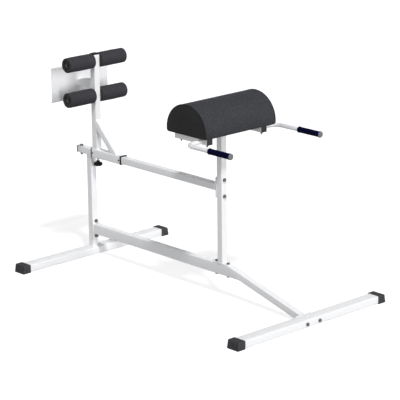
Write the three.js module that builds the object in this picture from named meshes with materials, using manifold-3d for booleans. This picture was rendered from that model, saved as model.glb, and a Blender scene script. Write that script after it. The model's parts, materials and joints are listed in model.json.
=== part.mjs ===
// Glute ham developer: a free-standing bench with a half-moon hip pad, two forward handles and a
// foot carriage with rollers and a footplate that slides along a rail. Millimetres, +Z up.
// +X runs forward, from the footplate to the handles, and left is -Y.
// Stations along X are counted from the middle of the rear floor tube, and the finished group is
// moved so that its origin lies on the floor under the middle of the whole machine.

import * as THREE from 'three';
import { mergeVertices } from 'three/addons/utils/BufferGeometryUtils.js';
import Module from 'manifold-3d';

const wasm = await Module();
wasm.setup();

// Clearances
const seatGap = 0.3; // between pieces that touch
const sinkDepth = 1.5; // how far joined shapes run into each other inside one piece
const cutOverrun = 5; // how far a cut runs past the faces it opens

// Floor tubes and their rubber boots
const baseSpacing = 1808; // rear floor tube to front floor tube
const baseTube = { side: 75, face: 43, corner: 5, wall: 2.5 };
const baseHalfLength = 556;
const bootFloor = 1.8;
const bootTop = 2.2;
const bootSide = 5.2;
const bootEnd = 4;
const bootReach = 46;
const bootFlare = 8;
const bootChamfer = 3;

// Square tubes
const frameTube = { side: 40, face: 40, corner: 4, wall: 2 };
const beamTube = { side: 40, face: 60, corner: 4, wall: 2.5 };
const sleeveTube = { side: 50, face: 50, corner: 5, wall: 2.5 };
const frontUprightStation = 1133;
const beamUnderside = 130;
const railUnderside = 613;
const railRearReach = 106; // behind the middle of the rear floor tube
const bracketRise = 281; // rail's upper face to the pad brackets' lower face

// Plates welded to the tubes' ends and bolted to the next tube
const flangeLength = 120;
const flangeWidth = 50;
const flangeThickness = 6;
const flangeBoltReach = 47; // from the tube's middle line to each bolt
const footPlateWidth = 40;
const legFlangeHeight = 43;
const legFlangeUnderside = 4;
const legBoltHeight = 21;

// Sloping front leg
const legTopAtFlange = 43.5;
const legTopReach = 79; // front upright's middle to where the leg's upper edge leaves the beam's

// Bolts, with their washers and tightened nuts
const boltShank = 10;
const boltAcross = 17;
const boltHeadHeight = 6.4;
const washerWidth = 21;
const washerThickness = 2;
const nutHeight = 8;
const boltTip = 3;
const railEndTip = 6.7;
const railEndInset = 18; // rail's rear end to the bolt through it
const boltHoleGap = 0.5; // all round a shank

// Plastic plugs in square tubes
const plugFlange = 3;
const railPlugFlange = 5;
const plugDepth = 12;
const plugWall = 2.5;

// Foot carriage
const carriageParkGap = 6; // rear upright to the sleeve's collar, with the carriage at its rear stop
const sleeveLength = 255;
const collarLip = 8;
const collarWidth = 52;
const collarCorner = 4;
const collarSpigot = 30;
const collarSpigotGap = 0.35;
const railSlideGap = 0.4;
const pegInset = 9; // from the sleeve's end to the collar's snap pegs
const pegWidth = 9;
const pegProud = 2.6;
const mastInset = 21; // rear end of the sleeve to the mast's middle
const mastHeight = 570.2;
const mastCapFlange = 7;
const braceRise = 180.7; // mast's foot to the brace's upper edge on the mast
const braceAngleShare = 0.25; // of a half turn: 45 degrees

// Rollers and their axles
const upperAxleDrop = 36.5; // mast's top to the upper axle
const ankleGap = 120; // between the upper and the lower rollers
const rollerDiameter = 88;
const rollerCrown = 1; // extra radius at the middle of the foam
const rollerInnerEnd = 21.5; // from the machine's middle plane
const rollerOuterEnd = 213.5;
const rollerEdge = 5;
const rollerEdgeShare = 0.25; // where the rounded edge is faceted
const foamRecess = 8;
const foamGap = 0.35;
const hubDiscWidth = 57;
const hubDiscThickness = 4;
const hubTubeWidth = 30;
const hubBoreGap = 0.5;
const axleWidth = 20;
const axleThread = 12;
const axleWasherWidth = 26;
const axleNutAcross = 19;
const axleNutHeight = 5;

// Footplate
const plateSetback = 142; // mast's middle to the plate's front face
const plateTopDrop = 40; // upper axle to the plate's upper edge
const plateFootDrop = 38; // lower axle to the plate's lower edge
const plateHalfWidth = 213;
const plateThickness = 3;
const plateLip = 16;
const plateBend = 5;
const armLift = 38; // lower axle to the arm's lower face
const armHeightAtPlate = 39;
const armHeightAtMast = 50;
const armRise = 4; // how far the arm's upper edge bows upwards
const armWidth = 40;
const armWall = 3;

// Clamp screw and star knob
const clampInset = 28; // rear end of the sleeve to the screw
const bossWidth = 16;
const bossLength = 18;
const screwWidth = 10;
const screwTip = 3;
const screwThreadGap = 0.35;
const knobHang = 25.5; // rail's lower face to the top of the knob
const knobHubWidth = 22;
const knobHubHeight = 11;
const knobRadius = 26;
const knobHeight = 20;
const knobLobes = 6;
const knobLobeDepth = 3;
const knobBevel = 3;
const knobSocketDepth = 22;

// Hip pad and what carries it
const bracketOffset = 205; // brackets' middle from the machine's middle plane
const bracketRearReach = 129; // from the front upright's middle
const bracketFrontReach = 125;
const padWidth = 320; // along the machine
const padLead = 2; // how far the pad's middle stands in front of the front upright's
const padOverhang = 39.5; // past each bracket's outer face
const padHeight = 175.2;
const padSideHeight = 24;
const padDrawnIn = 5; // how far the sides pull in towards the lower edge
const padDrawnShare = 0.25; // of that, half way up the sides
const padBarrel = 1; // extra radius half way along
const padEndBulge = 3;
const padSeamRadius = 4;
const padUndersideShares = [0.5, 0, -0.5];
const boardThickness = 18;
const boardInset = 9;
const padStudWidth = 8;
const padStudRearInset = 28; // from the bracket's end
const padStudFrontInset = 20;
const padStudDepth = 12;
const padStudBelow = 15;
const padNutAcross = 13;
const padNutHeight = 6.5;
const padWasherWidth = 18;

// Handles
const handleInset = 40; // bracket's front end to where the bar leaves its side
const handleClearance = 73.5; // pad's end to the grip's middle line
const handleDrop = 3; // bracket's middle to the bar's middle
const handleWidth = 25;
const handleWall = 2;
const handleBend = 48;
const handleReach = 181; // forwards from where the bar leaves the bracket to its grip
const gripLength = 164;
const gripWidth = 33;
const gripRimWidth = 36;
const gripRimLength = 6;
const gripPlugHead = 4;
const gripPlugWidth = 35;
const gripPlugDepth = 14;

// Numbers of sides and steps on round shapes
const hexSides = 6;
const holeSides = 8;
const smallSides = 12;
const gripSides = 16;
const rollerSides = 20;
const cornerSteps = 1; // gives two flats to each rounded corner
const plateBendSteps = 2;
const barBendSteps = 5;
const armSteps = 6;
const lobeSteps = 4;
const padArcSteps = 22;
const padAlongSteps = 10;
const padSeamSteps = 3;
const padEndRings = 2;

// Materials
function finish(color, roughness, metalness) {
  return new THREE.MeshStandardMaterial({ color, roughness, metalness });
}
const powderCoat = finish(0xf2f2f4, 0.3, 0.1);
const boltSteel = finish(0x4c4c50, 0.4, 0.8);
const axleSteel = finish(0x6a6a6e, 0.35, 0.9);
const rubber = finish(0x2e2e30, 0.8, 0);
const blackPlastic = finish(0x1d1d1f, 0.5, 0);
const hubPlastic = finish(0x4a453e, 0.5, 0);
const foam = finish(0x3a3a3d, 0.9, 0);
const vinyl = finish(0x2f2f31, 0.7, 0);
const gripRubber = finish(0x0b0b38, 0.6, 0);
const greyPlastic = finish(0x76776f, 0.5, 0);
const plywood = finish(0xb89868, 0.8, 0);

// Solids: a closed geometry becomes a solid to join or cut, and comes back as a geometry
function bareGeometry(geometry) {
  const bare = new THREE.BufferGeometry();
  const flat = geometry.index ? geometry.toNonIndexed() : geometry;
  bare.setAttribute('position', flat.getAttribute('position').clone());
  return mergeVertices(bare);
}

function toSolid(geometry) {
  const bare = bareGeometry(geometry);
  return new wasm.Manifold(new wasm.Mesh({
    numProp: 3,
    vertProperties: new Float32Array(bare.getAttribute('position').array),
    triVerts: new Uint32Array(bare.index.array),
  }));
}

function toGeometry(solid) {
  const mesh = solid.getMesh();
  const geometry = new THREE.BufferGeometry();
  geometry.setAttribute('position', new THREE.BufferAttribute(new Float32Array(mesh.vertProperties), 3));
  geometry.setIndex(new THREE.BufferAttribute(new Uint32Array(mesh.triVerts), 1));
  geometry.computeVertexNormals();
  return geometry;
}

function join(...geometries) {
  return toGeometry(geometries.map(toSolid).reduce((whole, next) => whole.add(next)));
}

function cut(geometry, ...tools) {
  return toGeometry(tools.map(toSolid).reduce((whole, tool) => whole.subtract(tool), toSolid(geometry)));
}

function keepInside(geometry, outline) {
  return toGeometry(toSolid(geometry).intersect(toSolid(outline)));
}

// Sections and straight members
function roundedRectangle(path, width, height, corner) {
  const right = width / 2 - corner;
  const top = height / 2 - corner;
  path.moveTo(right, -height / 2);
  path.absarc(right, -top, corner, -Math.PI / 2, 0, false);
  path.absarc(right, top, corner, 0, Math.PI / 2, false);
  path.absarc(-right, top, corner, Math.PI / 2, Math.PI, false);
  path.absarc(-right, -top, corner, Math.PI, Math.PI * 1.5, false);
  path.closePath();
  return path;
}

function solidSection({ side, face, corner }) {
  return roundedRectangle(new THREE.Shape(), side, face, corner);
}

function innerSection(section) {
  return {
    side: section.side - 2 * section.wall,
    face: section.face - 2 * section.wall,
    corner: section.corner - section.wall,
  };
}

function hollowSection(section) {
  const shape = solidSection(section);
  const inner = innerSection(section);
  shape.holes.push(roundedRectangle(new THREE.Path(), inner.side, inner.face, inner.corner));
  return shape;
}

function extrude(shape, depth, steps = cornerSteps) {
  return new THREE.ExtrudeGeometry(shape, { depth, bevelEnabled: false, curveSegments: steps });
}

// Runs a section from start to end. The section's width lies along sideways.
function member(shape, start, end, sideways = new THREE.Vector3(0, 1, 0)) {
  const along = end.clone().sub(start);
  const length = along.length();
  along.normalize();
  const upwards = along.clone().cross(sideways);
  const frame = new THREE.Matrix4().makeBasis(sideways, upwards, along);
  frame.setPosition(start);
  return extrude(shape, length).applyMatrix4(frame);
}

function point(x, y, z) {
  return new THREE.Vector3(x, y, z);
}

function shifted(place, direction, distance) {
  return place.clone().addScaledVector(direction, distance);
}

function acrossMachine(outline, width, steps = cornerSteps) {
  return extrude(outline, width, steps).rotateX(Math.PI / 2).translate(0, width / 2, 0);
}

// A prism across the machine, with its outline in the side view
function sidePrism(corners, width) {
  return acrossMachine(new THREE.Shape(corners.map(([x, z]) => new THREE.Vector2(x, z))), width);
}

function block(low, high) {
  const size = high.clone().sub(low);
  const middle = low.clone().add(high).multiplyScalar(1 / 2);
  return new THREE.BoxGeometry(size.x, size.y, size.z).translate(middle.x, middle.y, middle.z);
}

// A round rod from start to end
function rod(start, end, width, sides = holeSides) {
  const along = end.clone().sub(start);
  const geometry = new THREE.CylinderGeometry(width / 2, width / 2, along.length(), sides);
  const turn = new THREE.Quaternion().setFromUnitVectors(new THREE.Vector3(0, 1, 0), along.clone().normalize());
  const middle = start.clone().add(end).multiplyScalar(1 / 2);
  return geometry.applyQuaternion(turn).translate(middle.x, middle.y, middle.z);
}

function hexagon(start, end, across) {
  return rod(start, end, across / Math.cos(Math.PI / hexSides), hexSides);
}

// A turned piece, from a profile of [radius, height] pairs
function turned(profile, sides) {
  return new THREE.LatheGeometry(profile.map(([radius, height]) => new THREE.Vector2(radius, height)), sides);
}

const forward = point(1, 0, 0);
const backward = point(-1, 0, 0);
const upward = point(0, 0, 1);
const downward = point(0, 0, -1);

// Places worked out from the driving dimensions
const halfTube = frameTube.side / 2;
const baseUnderside = bootFloor + seatGap;
const baseTop = baseUnderside + baseTube.face;
const beamTop = beamUnderside + beamTube.face;
const beamMiddle = beamUnderside + beamTube.face / 2;
const railTop = railUnderside + frameTube.face;
const railMiddle = railUnderside + frameTube.face / 2;
const bracketUnderside = railTop + bracketRise;
const bracketTop = bracketUnderside + frameTube.face;
const bracketMiddle = bracketUnderside + frameTube.face / 2;
const sleeveTop = railMiddle + sleeveTube.face / 2;
const sleeveUnderside = railMiddle - sleeveTube.face / 2;
const carriageStation = halfTube + collarLip + carriageParkGap; // rear end of the sleeve
const sleeveFront = carriageStation + sleeveLength;
const mastStation = carriageStation + mastInset;
const mastFoot = sleeveTop + seatGap;
const mastTop = mastFoot + mastHeight;
const braceTopOnMast = mastFoot + braceRise;
const rollerUpperHeight = mastTop - upperAxleDrop;
const rollerLowerHeight = rollerUpperHeight - rollerDiameter - ankleGap;
const plateFrontStation = mastStation - plateSetback;
const plateTop = rollerUpperHeight - plateTopDrop;
const plateUnderside = rollerLowerHeight - plateFootDrop;
const armUnderside = rollerLowerHeight + armLift;
const clampStation = carriageStation + clampInset;
const knobHubTop = railUnderside - knobHang;
const frontUprightRear = frontUprightStation - halfTube;
const frontUprightFront = frontUprightStation + halfTube;
const railEndStation = railEndInset - railRearReach;
const legTopStation = frontUprightStation + legTopReach;
const bracketRear = frontUprightStation - bracketRearReach;
const bracketFront = frontUprightStation + bracketFrontReach;
const padStudRear = bracketRear + padStudRearInset;
const padStudFront = bracketFront - padStudFrontInset;
const padRear = frontUprightStation + padLead - padWidth / 2;
const padFront = padRear + padWidth;
const padHalfLength = bracketOffset + halfTube + padOverhang;
const handleStation = bracketFront - handleInset; // where the bars leave the brackets
const handleOffset = padHalfLength + handleClearance; // grips' middle from the middle plane
const handleHeight = bracketMiddle - handleDrop;
const gripRear = handleStation + handleReach;
const beamFlangeRear = halfTube + seatGap;
const railFlangeFront = frontUprightRear - seatGap;
const railFlangeRear = railFlangeFront - flangeThickness;
const legFlangeFront = baseSpacing - baseTube.side / 2 - seatGap;
const legFlangeRear = legFlangeFront - flangeThickness;
const footPlateUnderside = beamTop + seatGap;
const footPlateTop = footPlateUnderside + flangeThickness;

// A bolted joint has a place under the bolt's head, a direction towards its nut and a grip length
const flangeGrip = frameTube.side + flangeThickness + seatGap;
const railJoints = {
  upper: { place: point(frontUprightFront, 0, railMiddle + flangeBoltReach), towards: backward, grip: flangeGrip },
  lower: { place: point(frontUprightFront, 0, railMiddle - flangeBoltReach), towards: backward, grip: flangeGrip },
};
const beamJoints = {
  upper: { place: point(-halfTube, 0, beamMiddle + flangeBoltReach), towards: forward, grip: flangeGrip },
  lower: { place: point(-halfTube, 0, beamMiddle - flangeBoltReach), towards: forward, grip: flangeGrip },
};
const footGrip = beamTube.face + flangeThickness + seatGap;
const footJoints = {
  rear: { place: point(frontUprightStation - flangeBoltReach, 0, footPlateTop), towards: downward, grip: footGrip },
  front: { place: point(frontUprightStation + flangeBoltReach, 0, footPlateTop), towards: downward, grip: footGrip },
};
const baseGrip = baseTube.side + flangeThickness + seatGap;
const baseFront = baseSpacing + baseTube.side / 2;
const baseJoints = {
  left: { place: point(baseFront, -flangeBoltReach, legBoltHeight), towards: backward, grip: baseGrip },
  right: { place: point(baseFront, flangeBoltReach, legBoltHeight), towards: backward, grip: baseGrip },
};
const railEndJoint = {
  place: point(railEndStation, 0, railTop), towards: downward, grip: frameTube.face, tip: railEndTip,
};

function boltWithNut({ place, towards, grip, tip = boltTip }) {
  const at = (distance) => shifted(place, towards, distance);
  const nutSide = grip + washerThickness;
  return join(
    hexagon(at(-washerThickness - boltHeadHeight), at(-2 * seatGap), boltAcross),
    rod(at(-washerThickness), at(-seatGap), washerWidth, smallSides),
    rod(at(-washerThickness), at(nutSide + nutHeight + tip), boltShank, holeSides),
    rod(at(grip + seatGap), at(nutSide), washerWidth, smallSides),
    hexagon(at(grip + 2 * seatGap), at(nutSide + nutHeight), boltAcross),
  );
}

function boltHole({ place, towards, grip }) {
  return rod(shifted(place, towards, -cutOverrun), shifted(place, towards, grip + cutOverrun),
    boltShank + 2 * boltHoleGap, holeSides);
}

function boltHoles(joints) {
  return Object.values(joints).map(boltHole);
}

// The machine
const machine = new THREE.Group();

function add(name, geometry, material) {
  const mesh = new THREE.Mesh(geometry, material);
  mesh.name = name;
  machine.add(mesh);
}

// Floor tubes with a boot over each end
function floorTube(station) {
  const middle = baseUnderside + baseTube.face / 2;
  return member(hollowSection(baseTube), point(station, -baseHalfLength, middle),
    point(station, baseHalfLength, middle), point(1, 0, 0));
}

function boot(station, side) {
  const width = baseTube.side + 2 * (bootSide + seatGap);
  const top = baseTop + seatGap + bootTop;
  const inner = baseHalfLength - bootReach + bootEnd;
  const outer = baseHalfLength + seatGap + bootEnd;
  const outline = new THREE.Shape();
  outline.moveTo(inner, 0);
  outline.lineTo(outer + bootFlare, 0);
  outline.lineTo(outer + bootFlare, bootChamfer);
  outline.lineTo(outer, top - bootChamfer);
  outline.lineTo(outer - bootChamfer, top);
  outline.lineTo(inner, top);
  outline.closePath();
  const body = new THREE.ExtrudeGeometry(outline, {
    depth: width - 2 * bootChamfer, bevelThickness: bootChamfer, bevelSize: bootChamfer / 2,
    bevelOffset: -bootChamfer / 2, bevelSegments: 1,
  });
  body.translate(0, 0, bootChamfer - width / 2).rotateX(Math.PI / 2).rotateZ(side * Math.PI / 2);
  const cavity = block(
    point(-baseTube.side / 2 - seatGap, inner - cutOverrun, bootFloor),
    point(baseTube.side / 2 + seatGap, baseHalfLength + seatGap, baseTop + seatGap),
  );
  if (side < 0) cavity.rotateZ(Math.PI);
  return cut(body, cavity).translate(station, 0, 0);
}

add('rear_base_tube', floorTube(0), powderCoat);
add('rear_base_cap_left', boot(0, -1), rubber);
add('rear_base_cap_right', boot(0, 1), rubber);
add('front_base_tube', cut(floorTube(baseSpacing), ...boltHoles(baseJoints)), powderCoat);
add('front_base_cap_left', boot(baseSpacing, -1), rubber);
add('front_base_cap_right', boot(baseSpacing, 1), rubber);

// Rear upright
add('rear_upright', cut(
  member(hollowSection(frameTube), point(0, 0, baseTop + seatGap), point(0, 0, railUnderside - seatGap)),
  ...boltHoles(beamJoints),
), powderCoat);

// A plate standing across X, welded on a tube's end
function endPlate(rear, width, low, high) {
  return block(point(rear, -width / 2, low), point(rear + flangeThickness, width / 2, high));
}

// Top rail with the plate that meets the front upright, its end plug and end bolt
const railRear = -railRearReach;
add('top_rail', cut(
  join(
    member(hollowSection(frameTube), point(railRear, 0, railMiddle),
      point(railFlangeRear + sinkDepth, 0, railMiddle)),
    endPlate(railFlangeRear, flangeWidth, railMiddle - flangeLength / 2, railMiddle + flangeLength / 2),
  ),
  ...boltHoles(railJoints), boltHole(railEndJoint),
), powderCoat);

// A plug for a square tube: a cover outside and a hollow spigot inside. It points along outwards,
// from a place at the middle of the tube's end.
function tubePlug(place, outwards, section, flange) {
  const inner = innerSection(section);
  const spigot = {
    side: inner.side - 2 * seatGap, face: inner.face - 2 * seatGap, corner: inner.corner, wall: plugWall,
  };
  const shape = solidSection(spigot);
  const hollow = innerSection(spigot);
  shape.holes.push(roundedRectangle(new THREE.Path(), hollow.side, hollow.face, spigot.corner / 2));
  return join(
    member(solidSection(section), shifted(place, outwards, seatGap), shifted(place, outwards, seatGap + flange)),
    member(shape, shifted(place, outwards, -plugDepth), shifted(place, outwards, seatGap + sinkDepth)),
  );
}
add('rail_end_cap', tubePlug(point(railRear, 0, railMiddle), backward, frameTube, railPlugFlange), blackPlastic);
add('rail_end_bolt', boltWithNut(railEndJoint), boltSteel);

// Sloping front leg: its upper edge as a line, and the line along which it meets the beam
const legEnd = legFlangeRear + sinkDepth;
const legSlope = (beamTop - legTopAtFlange) / (legFlangeRear - legTopStation);
const legLean = Math.hypot(1, legSlope);
const legDrop = frameTube.face * legLean;
const legUnderStation = legTopStation + (beamTop - legDrop - beamUnderside) / legSlope;
const legOverrun = beamTube.face * legLean;

function legPoint(station) {
  return point(station, 0, legTopAtFlange - legDrop / 2 + (legFlangeRear - station) * legSlope);
}

// Lower beam with the plate that meets the rear upright
add('lower_beam', cut(
  join(
    keepInside(
      member(hollowSection(beamTube), point(beamFlangeRear + flangeThickness - sinkDepth, 0, beamMiddle),
        point(legUnderStation + cutOverrun, 0, beamMiddle)),
      sidePrism([[0, beamUnderside - cutOverrun], [legUnderStation, beamUnderside - cutOverrun],
        [legUnderStation - seatGap, beamUnderside], [legTopStation - seatGap, beamTop],
        [legTopStation - seatGap, beamTop + cutOverrun], [0, beamTop + cutOverrun]],
      beamTube.side + cutOverrun),
    ),
    endPlate(beamFlangeRear, flangeWidth, beamMiddle - flangeLength / 2, beamMiddle + flangeLength / 2),
  ),
  ...boltHoles(beamJoints), ...boltHoles(footJoints),
), powderCoat);

// Front leg with the plate that meets the front floor tube
const legPlate = block(
  point(legFlangeRear, -flangeLength / 2, legFlangeUnderside),
  point(legFlangeFront, flangeLength / 2, legFlangeUnderside + legFlangeHeight),
);
add('front_leg', cut(
  join(
    keepInside(
      member(hollowSection(frameTube), legPoint(legTopStation - legOverrun), legPoint(legEnd + legOverrun)),
      sidePrism([[legTopStation + seatGap, beamTop], [legUnderStation + seatGap, beamUnderside],
        [legUnderStation + seatGap, 0], [legEnd, 0], [legEnd, beamTop + legOverrun],
        [legTopStation + seatGap, beamTop + legOverrun]], frameTube.side + cutOverrun),
    ),
    legPlate,
  ),
  ...boltHoles(baseJoints),
), powderCoat);

// Front upright with its foot plate
add('front_upright', cut(
  join(
    member(hollowSection(frameTube), point(frontUprightStation, 0, footPlateTop - sinkDepth),
      point(frontUprightStation, 0, bracketUnderside - seatGap)),
    block(point(frontUprightStation - flangeLength / 2, -footPlateWidth / 2, footPlateUnderside),
      point(frontUprightStation + flangeLength / 2, footPlateWidth / 2, footPlateTop)),
  ),
  ...boltHoles(railJoints), ...boltHoles(footJoints),
), powderCoat);

// Frame bolts
for (const [where, joints] of [['rail', railJoints], ['beam', beamJoints], ['foot', footJoints],
  ['base', baseJoints]]) {
  for (const [which, joint] of Object.entries(joints)) {
    add(`${where}_bolt_${which}`, boltWithNut(joint), boltSteel);
  }
}

// Brackets under the hip pad, joined by a tube across the top of the front upright
const sides = [['left', -1], ['right', 1]];
const crossReach = bracketOffset - frameTube.side / 2 + sinkDepth / 2;
const studPlaces = sides.flatMap(([hand, side]) => [['rear', padStudRear], ['front', padStudFront]]
  .map(([where, station]) => [`${where}_${hand}`, point(station, side * bracketOffset, bracketUnderside)]));
const padUnderside = bracketTop + seatGap;

function studHole([, place], gap) {
  return rod(shifted(place, upward, -cutOverrun),
    shifted(place, upward, frameTube.face + seatGap + padStudDepth + seatGap), padStudWidth + 2 * gap, holeSides);
}
add('pad_bracket_frame', cut(
  join(
    member(solidSection(frameTube), point(frontUprightStation, -crossReach, bracketMiddle),
      point(frontUprightStation, crossReach, bracketMiddle), point(1, 0, 0)),
    ...sides.map(([, side]) => member(solidSection(frameTube),
      point(bracketRear, side * bracketOffset, bracketMiddle),
      point(bracketFront, side * bracketOffset, bracketMiddle))),
  ),
  member(solidSection(innerSection(frameTube)), point(frontUprightStation, -bracketOffset, bracketMiddle),
    point(frontUprightStation, bracketOffset, bracketMiddle), point(1, 0, 0)),
  ...sides.map(([, side]) => member(solidSection(innerSection(frameTube)),
    point(bracketRear - cutOverrun, side * bracketOffset, bracketMiddle),
    point(bracketFront + cutOverrun, side * bracketOffset, bracketMiddle))),
  ...studPlaces.map((stud) => studHole(stud, boltHoleGap)),
), powderCoat);
for (const [hand, side] of sides) {
  add(`bracket_plug_rear_${hand}`, tubePlug(point(bracketRear, side * bracketOffset, bracketMiddle),
    backward, frameTube, plugFlange), greyPlastic);
  add(`bracket_plug_front_${hand}`, tubePlug(point(bracketFront, side * bracketOffset, bracketMiddle),
    forward, frameTube, plugFlange), greyPlastic);
}

// Studs that hang from the pad's board through the brackets, each with its washer and nut
for (const [name, place] of studPlaces) {
  const at = (height) => shifted(place, upward, height);
  add(`pad_bolt_${name}`, join(
    rod(at(-padStudBelow), at(frameTube.face + seatGap + padStudDepth), padStudWidth, holeSides),
    rod(at(-washerThickness), at(-seatGap), padWasherWidth, smallSides),
    hexagon(at(-washerThickness - padNutHeight), at(-2 * seatGap), padNutAcross),
  ), boltSteel);
}

// Hip pad: a half-moon cushion with a crowned barrel, drawn-in sides and slightly domed ends
const padMiddle = (padRear + padFront) / 2;
const padRadius = (padFront - padRear) / 2;
const padArcHeight = padHeight - padBarrel - padSideHeight;

// Outline of the pad seen from the end, from its lower rear edge over the top to its lower front
// edge and back along the flat underside. Grow adds to the radius.
function padOutline(grow) {
  const half = padRadius - padBarrel + grow;
  const outline = [
    [padDrawnIn - half, padUnderside],
    [padDrawnIn * padDrawnShare - half, padUnderside + padSideHeight / 2],
  ];
  for (let step = 0; step <= padArcSteps; step += 1) {
    const angle = Math.PI - Math.PI * step / padArcSteps;
    const height = padUnderside + padSideHeight + (padArcHeight + grow) * Math.sin(angle);
    outline.push([half * Math.cos(angle), height]);
  }
  outline.push([half - padDrawnIn * padDrawnShare, padUnderside + padSideHeight / 2]);
  outline.push([half - padDrawnIn, padUnderside]);
  for (const share of padUndersideShares) outline.push([half * share, padUnderside]);
  return outline;
}

// The pad's length is cut into rings: a quarter round at each seam and a faint barrel between
function padRings() {
  const straight = padHalfLength - padEndBulge - padSeamRadius;
  const seam = [];
  for (let step = 0; step <= padSeamSteps; step += 1) {
    const angle = Math.PI / 2 * step / padSeamSteps;
    seam.push([straight + padSeamRadius * Math.sin(angle), padSeamRadius * (Math.cos(angle) - 1)]);
  }
  const rings = [...seam].reverse().map(([y, grow]) => [-y, grow]);
  for (let step = 1; step < padAlongSteps; step += 1) {
    const share = 2 * step / padAlongSteps - 1;
    rings.push([straight * share, padBarrel * (1 - share * share)]);
  }
  return [...rings, ...seam];
}

function padGeometry() {
  const rings = padRings();
  const loops = rings.map(([y, grow]) => padOutline(grow).map(([x, z]) => [padMiddle + x, y, z]));
  const endMiddle = padUnderside + padArcHeight / 2;
  // each end is filled by loops that shrink towards its middle and bulge outwards
  for (let ring = 1; ring <= padEndRings; ring += 1) {
    const share = 1 - ring / (padEndRings + 1);
    const [end, grow] = rings[rings.length - 1];
    const reach = end + padEndBulge * (1 - share * share);
    const loop = padOutline(grow).map(([x, z]) => [x * share, endMiddle + (z - endMiddle) * share]);
    loops.push(loop.map(([x, z]) => [padMiddle + x, reach, z]));
    loops.unshift(loop.map(([x, z]) => [padMiddle + x, -reach, z]));
  }
  const around = loops[0].length;
  const places = loops.flat();
  const tips = [places.length, places.length + 1];
  places.push([padMiddle, -padHalfLength, endMiddle], [padMiddle, padHalfLength, endMiddle]);
  const last = (loops.length - 1) * around;
  const faces = [];
  for (let step = 0; step < around; step += 1) {
    const next = (step + 1) % around;
    for (let loop = 1; loop < loops.length; loop += 1) {
      const here = loop * around;
      const before = here - around;
      faces.push(before + step, here + next, here + step, before + step, before + next, here + next);
    }
    faces.push(tips[0], next, step, tips[1], last + step, last + next);
  }
  const geometry = new THREE.BufferGeometry();
  geometry.setAttribute('position', new THREE.Float32BufferAttribute(places.flat(), 3));
  geometry.setIndex(faces);
  return geometry;
}

const boardEnd = padHalfLength - padEndBulge - padSeamRadius - boardInset;
const boardLow = point(padRear + boardInset + padDrawnIn, -boardEnd, padUnderside);
const boardHigh = point(padFront - boardInset - padDrawnIn, boardEnd, padUnderside + boardThickness);
const boardPocket = block(
  point(boardLow.x - seatGap, boardLow.y - seatGap, boardLow.z - cutOverrun),
  point(boardHigh.x + seatGap, boardHigh.y + seatGap, boardHigh.z + seatGap),
);
add('pad_board', cut(block(boardLow, boardHigh), ...studPlaces.map((stud) => studHole(stud, seatGap))), plywood);
add('hip_pad', cut(padGeometry(), boardPocket), vinyl);

// Handles: a round bar out of each bracket, bent forward, with a grip and an end plug
const gripFront = gripRear + gripLength;
const barStart = bracketOffset + frameTube.side / 2 + seatGap;
const barInner = handleWidth - 2 * handleWall;

// The bar's middle line: straight sideways, a quarter round, then straight forward
class BarLine extends THREE.Curve {
  constructor(side) {
    super();
    this.side = side;
  }

  getUtoTmapping(share) {
    return share;
  }

  getPoint(share) {
    const step = share * (barBendSteps + 2);
    const centre = [handleStation + handleBend, handleOffset - handleBend];
    if (step <= 1) {
      return point(handleStation, this.side * (barStart + (centre[1] - barStart) * step), handleHeight);
    }
    if (step >= barBendSteps + 1) {
      const reach = (gripFront - centre[0]) * (step - barBendSteps - 1);
      return point(centre[0] + reach, this.side * handleOffset, handleHeight);
    }
    const angle = Math.PI / 2 * (step - 1) / barBendSteps;
    return point(centre[0] - handleBend * Math.cos(angle),
      this.side * (centre[1] + handleBend * Math.sin(angle)), handleHeight);
  }
}

function ringShape(outerWidth, innerWidth) {
  const shape = new THREE.Shape();
  shape.absarc(0, 0, outerWidth / 2, 0, Math.PI * 2, false);
  const hole = new THREE.Path();
  hole.absarc(0, 0, innerWidth / 2, 0, Math.PI * 2, true);
  shape.holes.push(hole);
  return shape;
}

// Grip profile, [radius, distance in front of the grip's rear end]
const gripBore = handleWidth / 2 + seatGap;
const gripProfile = [
  [gripBore, 0], [gripRimWidth / 2, 0], [gripRimWidth / 2, gripRimLength],
  [gripWidth / 2, gripRimLength + sinkDepth], [gripWidth / 2, gripLength - gripRimLength - sinkDepth],
  [gripRimWidth / 2, gripLength - gripRimLength], [gripRimWidth / 2, gripLength - sinkDepth],
  [gripRimWidth / 2 - sinkDepth, gripLength], [gripBore, gripLength], [gripBore, 0],
];
// End plug profile, [radius, distance in front of the bar's end]
const gripPlugProfile = [
  [0, -gripPlugDepth], [barInner / 2 - seatGap, -gripPlugDepth], [barInner / 2 - seatGap, seatGap],
  [gripPlugWidth / 2, seatGap], [gripPlugWidth / 2, gripPlugHead - sinkDepth],
  [gripPlugWidth / 2 - sinkDepth, gripPlugHead], [0, gripPlugHead],
];
for (const [hand, side] of sides) {
  add(`handle_bar_${hand}`, new THREE.ExtrudeGeometry(ringShape(handleWidth, barInner), {
    steps: barBendSteps + 2, curveSegments: gripSides / 2, bevelEnabled: false,
    extrudePath: new BarLine(side),
  }), powderCoat);
  add(`grip_${hand}`, turned(gripProfile, gripSides).rotateZ(-Math.PI / 2)
    .translate(gripRear, side * handleOffset, handleHeight), gripRubber);
  add(`grip_plug_${hand}`, turned(gripPlugProfile, gripSides).rotateZ(-Math.PI / 2)
    .translate(gripFront, side * handleOffset, handleHeight), greyPlastic);
}

// Carriage sleeve with the threaded boss of its clamp, and a plastic collar in each end. Snap pegs
// on the collars' sides reach out through holes in the sleeve.
const collarOpening = frameTube.side + 2 * railSlideGap;
const spigotWidth = innerSection(sleeveTube).side - 2 * collarSpigotGap;
const pegStations = [carriageStation + pegInset, sleeveFront - pegInset];
const clampBore = rod(point(clampStation, 0, sleeveUnderside - bossLength - cutOverrun),
  point(clampStation, 0, railUnderside - seatGap), screwWidth + 2 * screwThreadGap, smallSides);

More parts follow.
